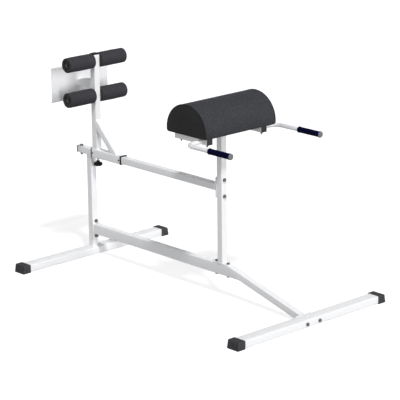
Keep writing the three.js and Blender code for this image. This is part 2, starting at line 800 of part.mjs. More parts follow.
add('carriage_sleeve', cut(
  join(
    member(hollowSection(sleeveTube), point(carriageStation, 0, railMiddle), point(sleeveFront, 0, railMiddle)),
    rod(point(clampStation, 0, sleeveUnderside - bossLength),
      point(clampStation, 0, sleeveUnderside + sinkDepth), bossWidth, smallSides),
  ),
  ...pegStations.map((station) => rod(point(station, -sleeveTube.side, railMiddle),
    point(station, sleeveTube.side, railMiddle), pegWidth + 2 * seatGap, smallSides)),
  clampBore,
), powderCoat);

function collar(station, inwards, pegStation) {
  const lip = member(solidSection({ side: collarWidth, face: collarWidth, corner: collarCorner }),
    point(station - inwards * collarLip, 0, railMiddle), point(station - inwards * seatGap, 0, railMiddle));
  const spigot = member(solidSection({
    side: spigotWidth, face: spigotWidth, corner: sleeveTube.corner - sleeveTube.wall,
  }), point(station - inwards * (seatGap + sinkDepth), 0, railMiddle),
  point(station + inwards * collarSpigot, 0, railMiddle));
  const reach = sleeveTube.side / 2 + pegProud;
  const peg = rod(point(pegStation, -reach, railMiddle), point(pegStation, reach, railMiddle),
    pegWidth, smallSides);
  const opening = member(solidSection({ side: collarOpening, face: collarOpening, corner: frameTube.corner }),
    point(station - collarSpigot - collarLip, 0, railMiddle),
    point(station + collarSpigot + collarLip, 0, railMiddle));
  return cut(join(lip, spigot, peg), opening, clampBore);
}
add('sleeve_collar_rear', collar(carriageStation, 1, pegStations[0]), blackPlastic);
add('sleeve_collar_front', collar(sleeveFront, -1, pegStations[1]), blackPlastic);

// Mast with its cap, and the brace between mast and sleeve
const mastRear = mastStation - halfTube;
const mastFront = mastStation + halfTube;
const rollerHeights = [['upper', rollerUpperHeight], ['lower', rollerLowerHeight]];

add('mast', cut(
  member(hollowSection(frameTube), point(mastStation, 0, mastFoot), point(mastStation, 0, mastTop)),
  ...rollerHeights.map(([, height]) => rod(point(mastStation, -frameTube.side, height),
    point(mastStation, frameTube.side, height), axleWidth + 2 * seatGap, smallSides)),
), powderCoat);
add('mast_cap', tubePlug(point(mastStation, 0, mastTop), upward, frameTube, mastCapFlange), blackPlastic);

const braceAngle = Math.PI * braceAngleShare;
const braceTan = Math.tan(braceAngle);
const braceDrop = frameTube.face / Math.cos(braceAngle);
const braceFront = mastFront + (braceTopOnMast - sleeveTop) / braceTan;
function bracePoint(station) {
  return point(station, 0, braceTopOnMast - braceDrop / 2 - (station - mastFront) * braceTan);
}
const braceRear = mastFront + seatGap;
add('mast_brace', keepInside(
  member(hollowSection(frameTube), bracePoint(mastFront - braceDrop), bracePoint(braceFront + braceDrop)),
  block(point(braceRear, -frameTube.side, mastFoot),
    point(braceFront + braceDrop, frameTube.side, braceTopOnMast + braceDrop)),
), powderCoat);

// Axles: a hexagon head and washer at the left end, and a thread with washer and nut at the right
const discOuter = rollerOuterEnd - foamRecess;
const washerInner = discOuter + seatGap;
const washerOuter = washerInner + washerThickness;
for (const [level, height] of rollerHeights) {
  const at = (distance) => point(mastStation, distance, height);
  add(`${level}_axle`, join(
    hexagon(at(-washerOuter - axleNutHeight), at(-washerInner - seatGap), axleNutAcross),
    rod(at(-washerOuter), at(-washerInner), axleWasherWidth, smallSides),
    rod(at(-washerInner - seatGap), at(washerInner - seatGap / 2), axleWidth, smallSides),
    rod(at(0), at(washerOuter + axleNutHeight), axleThread, holeSides),
  ), axleSteel);
  add(`${level}_axle_nut`, cut(
    join(
      rod(at(washerInner), at(washerOuter), axleWasherWidth, smallSides),
      hexagon(at(washerInner + seatGap), at(washerOuter + axleNutHeight), axleNutAcross),
    ),
    rod(at(0), at(rollerOuterEnd + cutOverrun), axleThread + 2 * seatGap, holeSides),
  ), boltSteel);
}

// Foam rollers on plastic hubs. Profiles are [radius, distance from the middle plane].
const discInner = discOuter - hubDiscThickness;
const hubBore = axleWidth / 2 + hubBoreGap;
const innerDisc = rollerInnerEnd + hubDiscThickness / 2;
const hubProfile = [
  [hubBore, rollerInnerEnd], [hubDiscWidth / 2, rollerInnerEnd], [hubDiscWidth / 2, innerDisc],
  [hubTubeWidth / 2, innerDisc], [hubTubeWidth / 2, discInner], [hubDiscWidth / 2, discInner],
  [hubDiscWidth / 2, discOuter], [hubBore, discOuter], [hubBore, rollerInnerEnd],
];
const foamInner = innerDisc + foamGap;
const foamRadius = rollerDiameter / 2 - rollerCrown;
const foamBore = hubTubeWidth / 2 + foamGap;
const recessRadius = hubDiscWidth / 2 + foamGap;
const facet = rollerEdge * rollerEdgeShare;
const foamProfile = [
  [foamBore, foamInner], [foamRadius - rollerEdge, foamInner], [foamRadius - facet, foamInner + facet],
  [foamRadius, foamInner + rollerEdge], [foamRadius + rollerCrown, (foamInner + rollerOuterEnd) / 2],
  [foamRadius, rollerOuterEnd - rollerEdge], [foamRadius - facet, rollerOuterEnd - facet],
  [foamRadius - rollerEdge, rollerOuterEnd], [recessRadius, rollerOuterEnd],
  [recessRadius, discInner - foamGap], [foamBore, discInner - foamGap], [foamBore, foamInner],
];
for (const [level, height] of rollerHeights) {
  for (const [hand, side] of sides) {
    const settle = (geometry) => geometry.rotateZ(side < 0 ? Math.PI : 0).translate(mastStation, 0, height);
    add(`roller_foam_${level}_${hand}`, settle(turned(foamProfile, rollerSides)), foam);
    add(`roller_hub_${level}_${hand}`, settle(turned(hubProfile, rollerSides)), hubPlastic);
  }
}

// Footplate: folded sheet with a lip bent back at the top and the bottom
function footplateOutline() {
  const front = plateFrontStation;
  const rear = front - plateThickness;
  const inner = plateBend - plateThickness;
  const lipEnd = front - plateLip;
  const bendStation = front - plateBend;
  const upperBend = plateTop - plateBend;
  const lowerBend = plateUnderside + plateBend;
  const outline = new THREE.Shape();
  outline.moveTo(front, lowerBend);
  outline.lineTo(front, upperBend);
  outline.absarc(bendStation, upperBend, plateBend, 0, Math.PI / 2, false);
  outline.lineTo(lipEnd, plateTop);
  outline.lineTo(lipEnd, plateTop - plateThickness);
  outline.lineTo(bendStation, plateTop - plateThickness);
  outline.absarc(bendStation, upperBend, inner, Math.PI / 2, 0, true);
  outline.lineTo(rear, lowerBend);
  outline.absarc(bendStation, lowerBend, inner, 0, -Math.PI / 2, true);
  outline.lineTo(lipEnd, plateUnderside + plateThickness);
  outline.lineTo(lipEnd, plateUnderside);
  outline.lineTo(bendStation, plateUnderside);
  outline.absarc(bendStation, lowerBend, plateBend, -Math.PI / 2, 0, false);
  return outline;
}
add('footplate', acrossMachine(footplateOutline(), 2 * plateHalfWidth, plateBendSteps), powderCoat);

// Arm between mast and footplate, deeper at the mast, with a bowed upper edge and open ends
function armOutline(inset, rear, front) {
  const outline = new THREE.Shape();
  outline.moveTo(rear, armUnderside + inset);
  outline.lineTo(front, armUnderside + inset);
  for (let step = 0; step <= armSteps; step += 1) {
    const share = step / armSteps;
    const height = armHeightAtMast + (armHeightAtPlate - armHeightAtMast) * share;
    const bow = armRise * Math.sin(Math.PI * share);
    outline.lineTo(front + (rear - front) * share, armUnderside - inset + height + bow);
  }
  outline.closePath();
  return outline;
}
const armRear = plateFrontStation + seatGap;
const armFront = mastRear - seatGap;
add('footplate_arm', cut(
  acrossMachine(armOutline(0, armRear, armFront), armWidth),
  acrossMachine(armOutline(armWall, armRear - cutOverrun, armFront + cutOverrun), armWidth - 2 * armWall),
), powderCoat);

// Clamp screw and star knob
const screwTop = railUnderside - seatGap;
const screwLow = knobHubTop - knobSocketDepth;
const screwLength = screwTop - screwLow;
const screwProfile = [
  [0, 0], [screwWidth / 2, 0], [screwWidth / 2, screwLength - screwTip],
  [screwWidth / 2 - screwTip / 2, screwLength], [0, screwLength],
];
add('clamp_screw', turned(screwProfile, smallSides).rotateX(Math.PI / 2).translate(clampStation, 0, screwLow),
  boltSteel);

function starShape() {
  const steps = knobLobes * lobeSteps;
  const outline = [];
  for (let step = 0; step < steps; step += 1) {
    const angle = 2 * Math.PI * step / steps;
    const radius = knobRadius - knobLobeDepth / 2 * (1 - Math.cos(knobLobes * angle));
    outline.push(new THREE.Vector2(radius * Math.cos(angle), radius * Math.sin(angle)));
  }
  return new THREE.Shape(outline);
}
const knobLow = knobHubTop - knobHubHeight - knobHeight;
const star = new THREE.ExtrudeGeometry(starShape(), {
  depth: knobHeight - 2 * knobBevel, bevelThickness: knobBevel, bevelSize: knobBevel,
  bevelOffset: -knobBevel, bevelSegments: 1,
}).translate(clampStation, 0, knobLow + knobBevel);
add('star_knob', cut(
  join(star, rod(point(clampStation, 0, knobLow + knobHeight - sinkDepth), point(clampStation, 0, knobHubTop),
    knobHubWidth, smallSides)),
  rod(point(clampStation, 0, screwLow - seatGap), point(clampStation, 0, knobHubTop + cutOverrun),
    screwWidth + 2 * seatGap, smallSides),
), blackPlastic);

// The origin lies on the floor, half way between the rearmost and the foremost face
const rearmost = railRear - seatGap - railPlugFlange;
const foremost = baseFront + washerThickness + boltHeadHeight;
machine.position.x = -(rearmost + foremost) / 2;

export default machine;
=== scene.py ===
"""Looks of the glute ham developer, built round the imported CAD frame. Metres, +Z up, +X towards the
handles. Places are given in millimetres as stations along X from the middle of the rear floor tube."""
import json
import math

import bmesh
import bpy
from mathutils import Matrix, Vector


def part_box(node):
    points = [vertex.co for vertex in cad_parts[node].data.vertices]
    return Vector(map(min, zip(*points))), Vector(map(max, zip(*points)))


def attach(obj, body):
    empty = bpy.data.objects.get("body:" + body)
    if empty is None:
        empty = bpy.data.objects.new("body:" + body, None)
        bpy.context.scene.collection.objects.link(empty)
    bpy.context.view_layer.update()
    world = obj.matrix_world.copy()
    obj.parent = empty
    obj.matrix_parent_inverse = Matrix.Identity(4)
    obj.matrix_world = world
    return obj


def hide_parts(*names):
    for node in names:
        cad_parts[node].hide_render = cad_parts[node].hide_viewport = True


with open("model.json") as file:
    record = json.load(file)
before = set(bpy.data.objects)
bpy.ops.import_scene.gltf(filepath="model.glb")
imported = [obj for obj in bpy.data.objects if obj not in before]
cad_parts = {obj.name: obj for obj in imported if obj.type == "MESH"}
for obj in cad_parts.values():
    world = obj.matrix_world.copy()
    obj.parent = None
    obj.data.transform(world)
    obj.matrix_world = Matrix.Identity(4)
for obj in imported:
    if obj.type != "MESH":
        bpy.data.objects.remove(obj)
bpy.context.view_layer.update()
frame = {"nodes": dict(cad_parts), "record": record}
nodes = frame["nodes"]

MM = 0.001
SAME_PLACE = 0.001 * MM
tube_low, tube_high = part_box("rear_base_tube")
ZERO = (tube_low.x + tube_high.x) / 2
X, Y, Z = Vector((1, 0, 0)), Vector((0, 1, 0)), Vector((0, 0, 1))
SIDES = (("left", -1), ("right", 1))


def at(station, side, height):
    return Vector((ZERO + station * MM, side * MM, height * MM))


# Sizes in millimetres. A tube's section is its side, its face and its corner radius.

GAP = 0.3
TUBE = 40
HALF_TUBE = TUBE / 2
FRAME_TUBE = (TUBE, TUBE, 3.2)

# Floor tubes and their boots
FRONT_BASE = 1808
BASE_HALF = 556
FLOOR_TUBE_RISE = 43
FLOOR_TUBE = (75, FLOOR_TUBE_RISE, 5)
FLOOR_TUBE_TOP = 45.1
BOOT_HALF, BOOT_TOP, BOOT_CORNER, BOOT_LEAN = 43, 47.4, 3, 7.6

# Rail, beam, leg and uprights
FRONT_UPRIGHT = 1133
RAIL_MIDDLE = 633
RAIL_LOW, RAIL_TOP = RAIL_MIDDLE - HALF_TUBE, RAIL_MIDDLE + HALF_TUBE
RAIL_REAR = -103.6
BEAM_RISE = 60
BEAM_TUBE = (TUBE, BEAM_RISE, 3.2)
BEAM_MIDDLE = 160
BEAM_TOP = BEAM_MIDDLE + BEAM_RISE / 2
JOINT = 1247.1
JOINT_NORMAL = Vector((60, 0, 70.17)).normalized()
LEG = Vector((552.2, 0, -146.5)).normalized()
LEG_TOP = 1212
LEG_DEPTH = TUBE / LEG.x

# Flange plates, with their welds and bolts. A sunk tube ends inside its plate.
FLANGE = 6
FLANGE_PLATE = (50, 120, 7)
FOOT_PLATE = (TUBE, 120, 7)
LEG_PLATE = (120, 43, 6)
LEG_PLATE_MIDDLE = 25.5
PLATE_TRIM = 0.7
SINK, SHALLOW_SINK = 0.8, 0.5
BEAD, SMALL_BEAD, FINE_BEAD = 3.2, 2.8, 2.4
WELD_FLOOR_ROOM = 0.6
BOLT_REACH = 47
BASE_BOLT_HEIGHT = 21
RAIL_END_BOLT, RAIL_END_TIP = -88, 6.7

# Thickness of the end plugs' covers
RAIL_CAP, MAST_CAP, PLUG_FLANGE = 7.2, 7, 3

# Pad brackets, handles and grips
BRACKET_MIDDLE = 954
BRACKET_LOW = BRACKET_MIDDLE - HALF_TUBE
BRACKET_REAR, BRACKET_FRONT = 1004, 1258
REAR_STUD, FRONT_STUD = 28, 20
BRACKET_SIDE = 205
BRACKET_FACE = BRACKET_SIDE + HALF_TUBE
HANDLE_RADIUS, HANDLE_BEND = 12.5, 48
HANDLE_HEIGHT, HANDLE_START, HANDLE_SIDE = 951, 1218, 338
GRIP_START, GRIP_LENGTH = 1399, 164
GRIP_END = GRIP_START + GRIP_LENGTH
RIB_PITCH = 3.9

# Foot carriage: sleeve, collars, mast, brace, footplate and arm
SLEEVE_TUBE = (50, 50, 5)
SLEEVE_REAR, SLEEVE_FRONT = 34, 289
SLEEVE_TOP = RAIL_MIDDLE + 25
PEG_INSET = 9
MAST = 55
MAST_FOOT, MAST_TOP = SLEEVE_TOP + GAP, 1228.5
BRACE_HEIGHT = 810.72
PLATE_FRONT, PLATE_TOP, PLATE_FOOT, PLATE_HALF = -87, 1152, 946, 213
PLATE_SHEET, PLATE_BEND, PLATE_LIP = 3, 5, 16
ARM_LOW, ARM_AT_MAST, ARM_AT_PLATE, ARM_BOW = 1022, 50, 39, 4

# Rollers: heights of the axles, then distances along them from the mast's middle
UPPER_AXLE, LOWER_AXLE = 1192, 984
AXLE_SEAT = 207.9
FOAM_INNER, FOAM_OUTER, FOAM_RECESS = 23.85, 213.3, 201.1
FOAM_BORE, FOAM_WAVE = 15.4, 0.35

# Clamp
CLAMP = 62
KNOB_LOW, KNOB_LOBES = 556.5, 6
SCREW_LOW, SCREW_TOP, SCREW_PITCH = 565.5, 611.5, 1.5

# Hip pad: the side is the upright part of its end view, under the arc
PAD_MIDDLE, PAD_LOW, PAD_HALF, PAD_RISE, PAD_SIDE, PAD_END = 1135, 974.3, 159, 150.2, 24, 261.5
PAD_TACKED, PAD_SEWN, PAD_PANEL = 12, 6, 8
WELT_INSET, STITCH_PITCH = 0.9, 6.2


# Camera

def add_camera():
    """The photo's view, from far off through a long lens."""
    azimuth, elevation, roll = math.radians(47.47304), math.radians(16.0142), math.radians(-0.67227)
    target, distance = Vector((0.08136, 0, 0.52365)), 11.2074
    back = Vector((math.sin(azimuth) * math.cos(elevation), -math.cos(azimuth) * math.cos(elevation),
                   math.sin(elevation)))
    level_right = Vector((math.cos(azimuth), math.sin(azimuth), 0))
    right = level_right * math.cos(roll) + back.cross(level_right) * math.sin(roll)
    up = back.cross(right)
    data = bpy.data.cameras.new("camera")
    data.lens, data.sensor_width = 179.28, 36
    data.clip_start, data.clip_end = 0.5, 100
    camera = bpy.data.objects.new("camera", data)
    turn = Matrix((right, up, back)).transposed().to_4x4()
    camera.matrix_world = Matrix.Translation(target + back * distance) @ turn
    bpy.context.scene.collection.objects.link(camera)
    bpy.context.scene.camera = camera


# Materials. Noise scales are per metre.

class Graph:
    """Short calls for the nodes of a material or a world."""

    def __init__(self, owner):
        owner.use_nodes = True
        self.tree = owner.node_tree

    def put(self, node, sockets):
        for key, value in sockets.items():
            if isinstance(value, bpy.types.NodeSocket):
                self.tree.links.new(value, node.inputs[key])
            else:
                node.inputs[key].default_value = value

    def node(self, kind, sockets=None, **settings):
        node = self.tree.nodes.new("ShaderNode" + kind)
        for key, value in settings.items():
            setattr(node, key, value)
        self.put(node, sockets or {})
        return node

    def product(self, a, b):
        return self.node("Math", {0: a, 1: b}, operation="MULTIPLY").outputs[0]


class Paint(Graph):
    """A procedural material."""

    def __init__(self, name, color, roughness, metallic=0.0, **sockets):
        self.material = bpy.data.materials.new(name)
        super().__init__(self.material)
        self.shader = self.tree.nodes["Principled BSDF"]
        self.put(self.shader, {"Base Color": (*color, 1), "Roughness": roughness, "Metallic": metallic})
        self.put(self.shader, {key.replace("_", " "): value for key, value in sockets.items()})
        self.place = self.node("TexCoord").outputs["Object"]

    def stretched(self, x, y, z):
        return self.node("Mapping", {"Vector": self.place, "Scale": (x, y, z)}).outputs["Vector"]

    def noise(self, scale, detail=3.0, rough=0.5, place=None):
        return self.node("TexNoise", {"Vector": place or self.place, "Scale": scale, "Detail": detail,
                                      "Roughness": rough}).outputs["Fac"]

    def cells(self, scale, feature="F1"):
        return self.node("TexVoronoi", {"Vector": self.place, "Scale": scale},
                         feature=feature).outputs["Distance"]

    def span(self, value, low, high, to_low, to_high):
        """Maps low to high onto another range, and holds what lies outside at its ends."""
        return self.node("MapRange", {"Value": value, "From Min": low, "From Max": high,
                                      "To Min": to_low, "To Max": to_high}).outputs["Result"]

    def blend(self, share, first, second):
        first, second = (c if isinstance(c, bpy.types.NodeSocket) else (*c, 1) for c in (first, second))
        return self.node("Mix", {"Factor": share, 6: first, 7: second}, data_type="RGBA").outputs[2]

    def finished(self, color, roughness, *bumps):
        """Links the looks. Bumps are (height, strength, distance in millimetres)."""
        self.put(self.shader, {"Base Color": color, "Roughness": roughness})
        normal = None
        for height, strength, distance in bumps:
            node = self.node("Bump", {"Height": height, "Strength": strength, "Distance": distance * MM})
            if normal:
                self.tree.links.new(normal, node.inputs["Normal"])
            normal = node.outputs["Normal"]
        self.tree.links.new(normal, self.shader.inputs["Normal"])
        return self.material

    def edges(self):
        """One along worn outer edges, zero elsewhere."""
        return self.span(self.node("NewGeometry").outputs["Pointiness"], 0.52, 0.58, 0, 1)


def powder_coat():
    """White coat with slow patches of tone, a little grime and a fine orange peel."""
    p = Paint("powder_coat", (0.84, 0.84, 0.85), 0.34, Specular_IOR_Level=0.07, Coat_Weight=0.05,
              Coat_Roughness=0.15)
    patches = p.noise(9, 4)
    grime = p.span(p.noise(30, 4, 0.5), 0.5, 0.85, 0, 0.16)
    clean = p.blend(patches, (0.825, 0.825, 0.83), (0.855, 0.855, 0.865))
    return p.finished(p.blend(grime, clean, (0.76, 0.755, 0.745)),
                      p.span(p.noise(60, 5), 0.3, 0.7, 0.24, 0.4),
                      (p.noise(620, 2), 0.22, 0.25), (p.noise(2300, 1), 0.1, 0.08))


def steel(name, color, roughness, metallic):
    """Dark steel with fine streaks along Y and darker patches."""
    p = Paint(name, color, roughness, metallic)
    streaks = p.noise(900, 3, 0.6, p.stretched(1, 0.25, 1))
    patches = p.span(p.noise(260, 5, 0.65), 0.35, 0.75, 0, 1)
    return p.finished(p.blend(patches, color, tuple(c * 0.55 for c in color)),
                      p.span(streaks, 0.3, 0.7, roughness - 0.1, roughness + 0.15),
                      (streaks, 0.12, 0.1), (p.noise(3000, 2), 0.1, 0.05))


def moulded(name, color, roughness, grain=1700, lighter=1.35, gloss=0.06):
    """Moulded plastic or rubber: faded patches, a fine grain and paler worn edges."""
    p = Paint(name, color, roughness, Specular_IOR_Level=gloss)
    fade = p.span(p.noise(45, 5, 0.6), 0.35, 0.7, 0, 1)
    worn = p.product(p.edges(), p.span(p.noise(300, 3), 0.4, 0.6, 0.2, 0.8))
    shade = p.blend(fade, color, tuple(min(c * lighter, 1) for c in color))
    return p.finished(p.blend(worn, shade, tuple(min(c * 2 + 0.01, 1) for c in color)),
                      p.span(p.noise(500, 3), 0.3, 0.7, roughness - 0.08, roughness + 0.1),
                      (p.noise(grain, 2), 0.25, 0.12), (p.noise(120, 3), 0.1, 0.3))


def roller_foam():
    """Closed-cell foam with fine pores and shallow dents."""
    p = Paint("roller_foam", (0.04, 0.04, 0.043), 0.85, Specular_IOR_Level=0.02)
    pores = p.cells(1250)
    dents = p.noise(70, 4, 0.55)
    tone = p.blend(p.span(dents, 0.3, 0.75, 0, 1), (0.0405, 0.0405, 0.0445), (0.0525, 0.0525, 0.0585))
    return p.finished(tone, p.span(pores, 0, 0.6, 0.88, 0.7), (dents, 0.25, 0.8), (pores, 0.4, 0.25),
                      (p.noise(2600, 2), 0.2, 0.1))


def vinyl(name="vinyl", color=(0.0447, 0.0457, 0.051), mottle=0.5):
    """Grained cover: a faint cloud, a speckle of some 4 mm, fine pebbles and creases."""
    p = Paint(name, color, 0.6, Specular_IOR_Level=0.015)
    grain = p.cells(820, feature="SMOOTH_F1")
    creases = p.cells(300, feature="DISTANCE_TO_EDGE")
    speckle = p.noise(130, 5, 0.72)
    dark, light = (tuple(c * share for c in color) for share in (0.5, 1.55))
    tone = p.blend(p.span(p.noise(11, 4, 0.55), 0.3, 0.7, 0.4, 0.6), dark, light)
    speckled = p.blend(p.span(speckle, 0.38, 0.62, 0, 1), p.blend(mottle, tone, dark),
                       p.blend(mottle, tone, light))
    return p.finished(speckled, p.span(grain, 0.1, 0.6, 0.48, 0.66), (p.noise(22, 3), 0.12, 1.5),
                      (speckle, 0.3, 0.35), (grain, 0.5, 0.2), (p.span(creases, 0, 0.12, 0, 1), 0.25, 0.2))


def plywood():
    """Level plies in two browns, with a grain along the board."""
    p = Paint("plywood", (0.45, 0.31, 0.17), 0.7)
    plies = p.node("TexWave", {"Vector": p.place, "Scale": 95.0, "Distortion": 0.6, "Detail": 2.0},
                   bands_direction="Z").outputs["Fac"]
    grain = p.noise(120, 5, 0.6, p.stretched(1, 0.08, 4))
    pale = p.blend(grain, (0.42, 0.28, 0.15), (0.55, 0.4, 0.24))
    return p.finished(p.blend(p.span(plies, 0.3, 0.7, 0, 1), pale, (0.26, 0.165, 0.09)),
                      p.span(grain, 0.3, 0.7, 0.6, 0.85), (grain, 0.3, 0.3))


def grip_rubber(name, color, lighter):
    """Matt rubber with paler patches."""
    p = Paint(name, color, 0.5, Specular_IOR_Level=0.015)
    return p.finished(p.blend(p.span(p.noise(160, 4), 0.35, 0.7, 0, 1), color, lighter),
                      p.span(p.noise(420, 3), 0.3, 0.7, 0.36, 0.58), (p.noise(1500, 3), 0.3, 0.12))


MATERIALS = {
    "powder_coat": powder_coat(),
    "fastener": steel("fastener", (0.15, 0.15, 0.15), 0.42, 0.6),
    "axle": steel("axle", (0.035, 0.035, 0.035), 0.42, 0.5),
    "rubber": moulded("rubber", (0.044, 0.044, 0.047), 0.7, grain=900, lighter=1.5, gloss=0.01),
    "black_plastic": moulded("black_plastic", (0.01, 0.01, 0.011), 0.5, lighter=1.5, gloss=0.02),
    "hub_plastic": moulded("hub_plastic", (0.05, 0.043, 0.03), 0.5, grain=1400),
    "roller_foam": roller_foam(),
    "vinyl": vinyl(),
    "grip": grip_rubber("grip", (0.002, 0.002, 0.012), (0.003, 0.003, 0.034)),
    "grip_blue": grip_rubber("grip_blue", (0.004, 0.004, 0.09), (0.008, 0.008, 0.17)),
    "grey_plastic": moulded("grey_plastic", (0.15, 0.15, 0.14), 0.5),
    # A darker copy of the grey plastic for the bracket plugs: painted shade from the pad above them.
    "grey_plastic_painted_shade": moulded("grey_plastic_painted_shade", (0.044, 0.044, 0.046), 0.5),
    "plywood": plywood(),
    # The end panels take a darker copy of the barrel's vinyl: painted shade on the ends.
    "vinyl_end_painted_shade": vinyl("vinyl_end_painted_shade", (0.032, 0.032, 0.0325), mottle=0.3),
    "thread": moulded("thread", (0.016, 0.016, 0.018), 0.7, grain=3000),
}


# Mesh helpers. Sections and profiles are in millimetres, places in metres.

def loft(mesh, rings, ends=True):
    """Quads between rings of places. With ends the first and last ring are closed with a face."""
    made = [[mesh.verts.new(p) for p in ring] for ring in rings]
    count = len(made[0])
    for first, second in zip(made, made[1:]):
        for i in range(count):
            j = (i + 1) % count
            mesh.faces.new((first[i], first[j], second[j], second[i]))
    if ends:
        mesh.faces.new(list(reversed(made[0])))
        mesh.faces.new(made[-1])


def closed_loft(mesh, rings):
    """A loft that runs on from its last ring to its first one."""
    loft(mesh, rings + rings[:1], ends=False)
    bmesh.ops.remove_doubles(mesh, verts=mesh.verts[:], dist=SAME_PLACE)


def arc(u, v, radius, start, end, steps):
    """Points of an arc round (u, v), from one angle to another in quarter turns."""
    angles = [math.pi / 2 * (start + (end - start) * step / steps) for step in range(steps + 1)]
    return [(u + radius * math.cos(angle), v + radius * math.sin(angle)) for angle in angles]


def circle(radius, sides):
    return arc(0, 0, radius, 0, 4, sides)[:-1]


def rounded(side, face, corner, steps=5, grow=0.0):
    """Points of a rounded rectangle, anticlockwise. Its corner centres stay where they are as it grows."""
    points = []
    for turn, (sx, sy) in enumerate(((1, 1), (-1, 1), (-1, -1), (1, -1))):
        cx, cy = sx * (side / 2 - corner), sy * (face / 2 - corner)
        points += arc(cx, cy, max(corner + grow, 0.05), turn, turn + 1, steps)
    return points


def soften(obj, width, segments, angle):
    """Rounds the edges where two faces meet at more than an angle."""
    mod = obj.modifiers.new("edges", "BEVEL")
    mod.width, mod.segments, mod.limit_method = width * MM, segments, "ANGLE"
    mod.angle_limit, mod.harden_normals = math.radians(angle), True


def linked(name, mesh):
    """Turns a bmesh into an object of the scene."""
    data = bpy.data.meshes.new(name)
    mesh.to_mesh(data)
    mesh.free()
    obj = bpy.data.objects.new(name, data)
    bpy.context.scene.collection.objects.link(obj)
    return obj


def piece(name, mesh, body, slot, smooth=35, bevel=0.0, extra=(), added=False):
    """An object that rides on a body and stands for the CAD node of its name, unless it is added."""
    bmesh.ops.recalc_face_normals(mesh, faces=mesh.faces[:])
    obj = linked(name, mesh)
    data = obj.data
    for key in (slot, *extra):
        data.materials.append(MATERIALS[key])
    data.shade_smooth()
    data.set_sharp_from_angle(angle=math.radians(smooth))
    if bevel:
        soften(obj, bevel, 2, smooth)
    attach(obj, body)
    if not added:
        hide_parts(name)
    return obj


def placed(points, origin, across, upward):
    return [origin + across * (u * MM) + upward * (v * MM) for u, v in points]


def meet(point, along, plane):
    """Where a line through point meets a plane (place, normal)."""
    place, normal = plane
    return point + along * ((place - point).dot(normal) / along.dot(normal))


def tube(mesh, section, origin, along, across, first, last, wall=None, trim=0.4):
    """A straight tube between two planes, with its end edges trimmed. With wall it is hollow."""
    side, face, corner = section
    upward = along.cross(across)

    def ring(plane, grow, shift):
        points = placed(rounded(side, face, corner, grow=grow), origin, across, upward)
        return [meet(p, along, plane) + along * (shift * MM) for p in points]

    outer = [ring(first, -trim, 0), ring(first, 0, trim), ring(last, 0, -trim), ring(last, -trim, 0)]
    if wall is None:
        loft(mesh, outer)
        return
    inner = [ring(last, trim - wall, 0), ring(last, -wall, -trim), ring(first, -wall, trim),
             ring(first, trim - wall, 0)]
    closed_loft(mesh, outer + inner)


def bead(mesh, points, outward, width=BEAD):
    """A closed weld bead along points, with small ripples. Outward gives each point's two face directions."""
    rings = []
    for i, (place, (a, b)) in enumerate(zip(points, outward)):
        size = width * (1 + 0.10 * math.sin(i * 2.1) + 0.05 * math.sin(i * 5.3))
        a, b = a.normalized(), b.normalized()
        rings.append([place - (a + b) * 0.6 * MM, place + a * size * MM - b * 0.4 * MM,
                      place + (a + b) * size * 0.62 * MM, place + b * size * MM - a * 0.4 * MM])
    closed_loft(mesh, rings)


def weld(mesh, section, origin, along, across, plane, towards=1, width=BEAD):
    """A bead round a tube's section where it meets a plane. Towards is the way back along the tube."""
    side, face, corner = section
    upward = along.cross(across)
    half_u, half_v = side / 2 - corner, face / 2 - corner
    ripple = 3.5
    flat = rounded(side, face, corner, 6)
    points, ways = [], []
    for (u, v), (next_u, next_v) in zip(flat, flat[1:] + flat[:1]):
        steps = max(1, int(math.hypot(next_u - u, next_v - v) / ripple))
        for k in range(steps):
            x, y = u + (next_u - u) * k / steps, v + (next_v - v) * k / steps
            cx, cy = max(-half_u, min(half_u, x)), max(-half_v, min(half_v, y))
            normal = (across * (x - cx) + upward * (y - cy)).normalized()
            points.append(meet(origin + across * (x * MM) + upward * (y * MM), along, plane))
            ways.append(((normal - plane[1] * normal.dot(plane[1])).normalized(), along * towards))
    bead(mesh, points, ways, width)


def lathe(mesh, profile, origin, axis, sides, closed=False):
    """Turns a profile of (distance along the axis, radius) about an axis of unit length."""
    across = axis.orthogonal().normalized()
    upward = axis.cross(across)
    rings = []
    for along, radius in profile:
        rings.append(placed(circle(max(radius, 0.01), sides), origin + axis * (along * MM), across, upward))
    (closed_loft if closed else loft)(mesh, rings)


def hexagon(mesh, place, axis, low, high, width, both=False):
    """A hexagon with its corners turned off at its far end, or at both ends."""
    across = axis.orthogonal().normalized()
    upward = axis.cross(across)
    corner = width / 2 / math.cos(math.pi / 6)
    sides, drop = 36, 0.9

    def ring(height, limit):
        points = []
        for i in range(sides):
            angle = 2 * math.pi * i / sides
            flat = width / 2 / math.cos((angle + math.pi / 6) % (math.pi / 3) - math.pi / 6)
            radius = min(flat, limit)
            points.append((radius * math.cos(angle), radius * math.sin(angle)))
        return placed(points, place + axis * (height * MM), across, upward)

    rings = [ring(low, width / 2 - 0.1), ring(low + drop, corner)] if both else [ring(low, corner)]
    rings += [ring(high - drop * 1.05, corner), ring(high - drop * 0.45, corner * 0.955),
              ring(high, width / 2 - 0.2)]
    loft(mesh, rings)


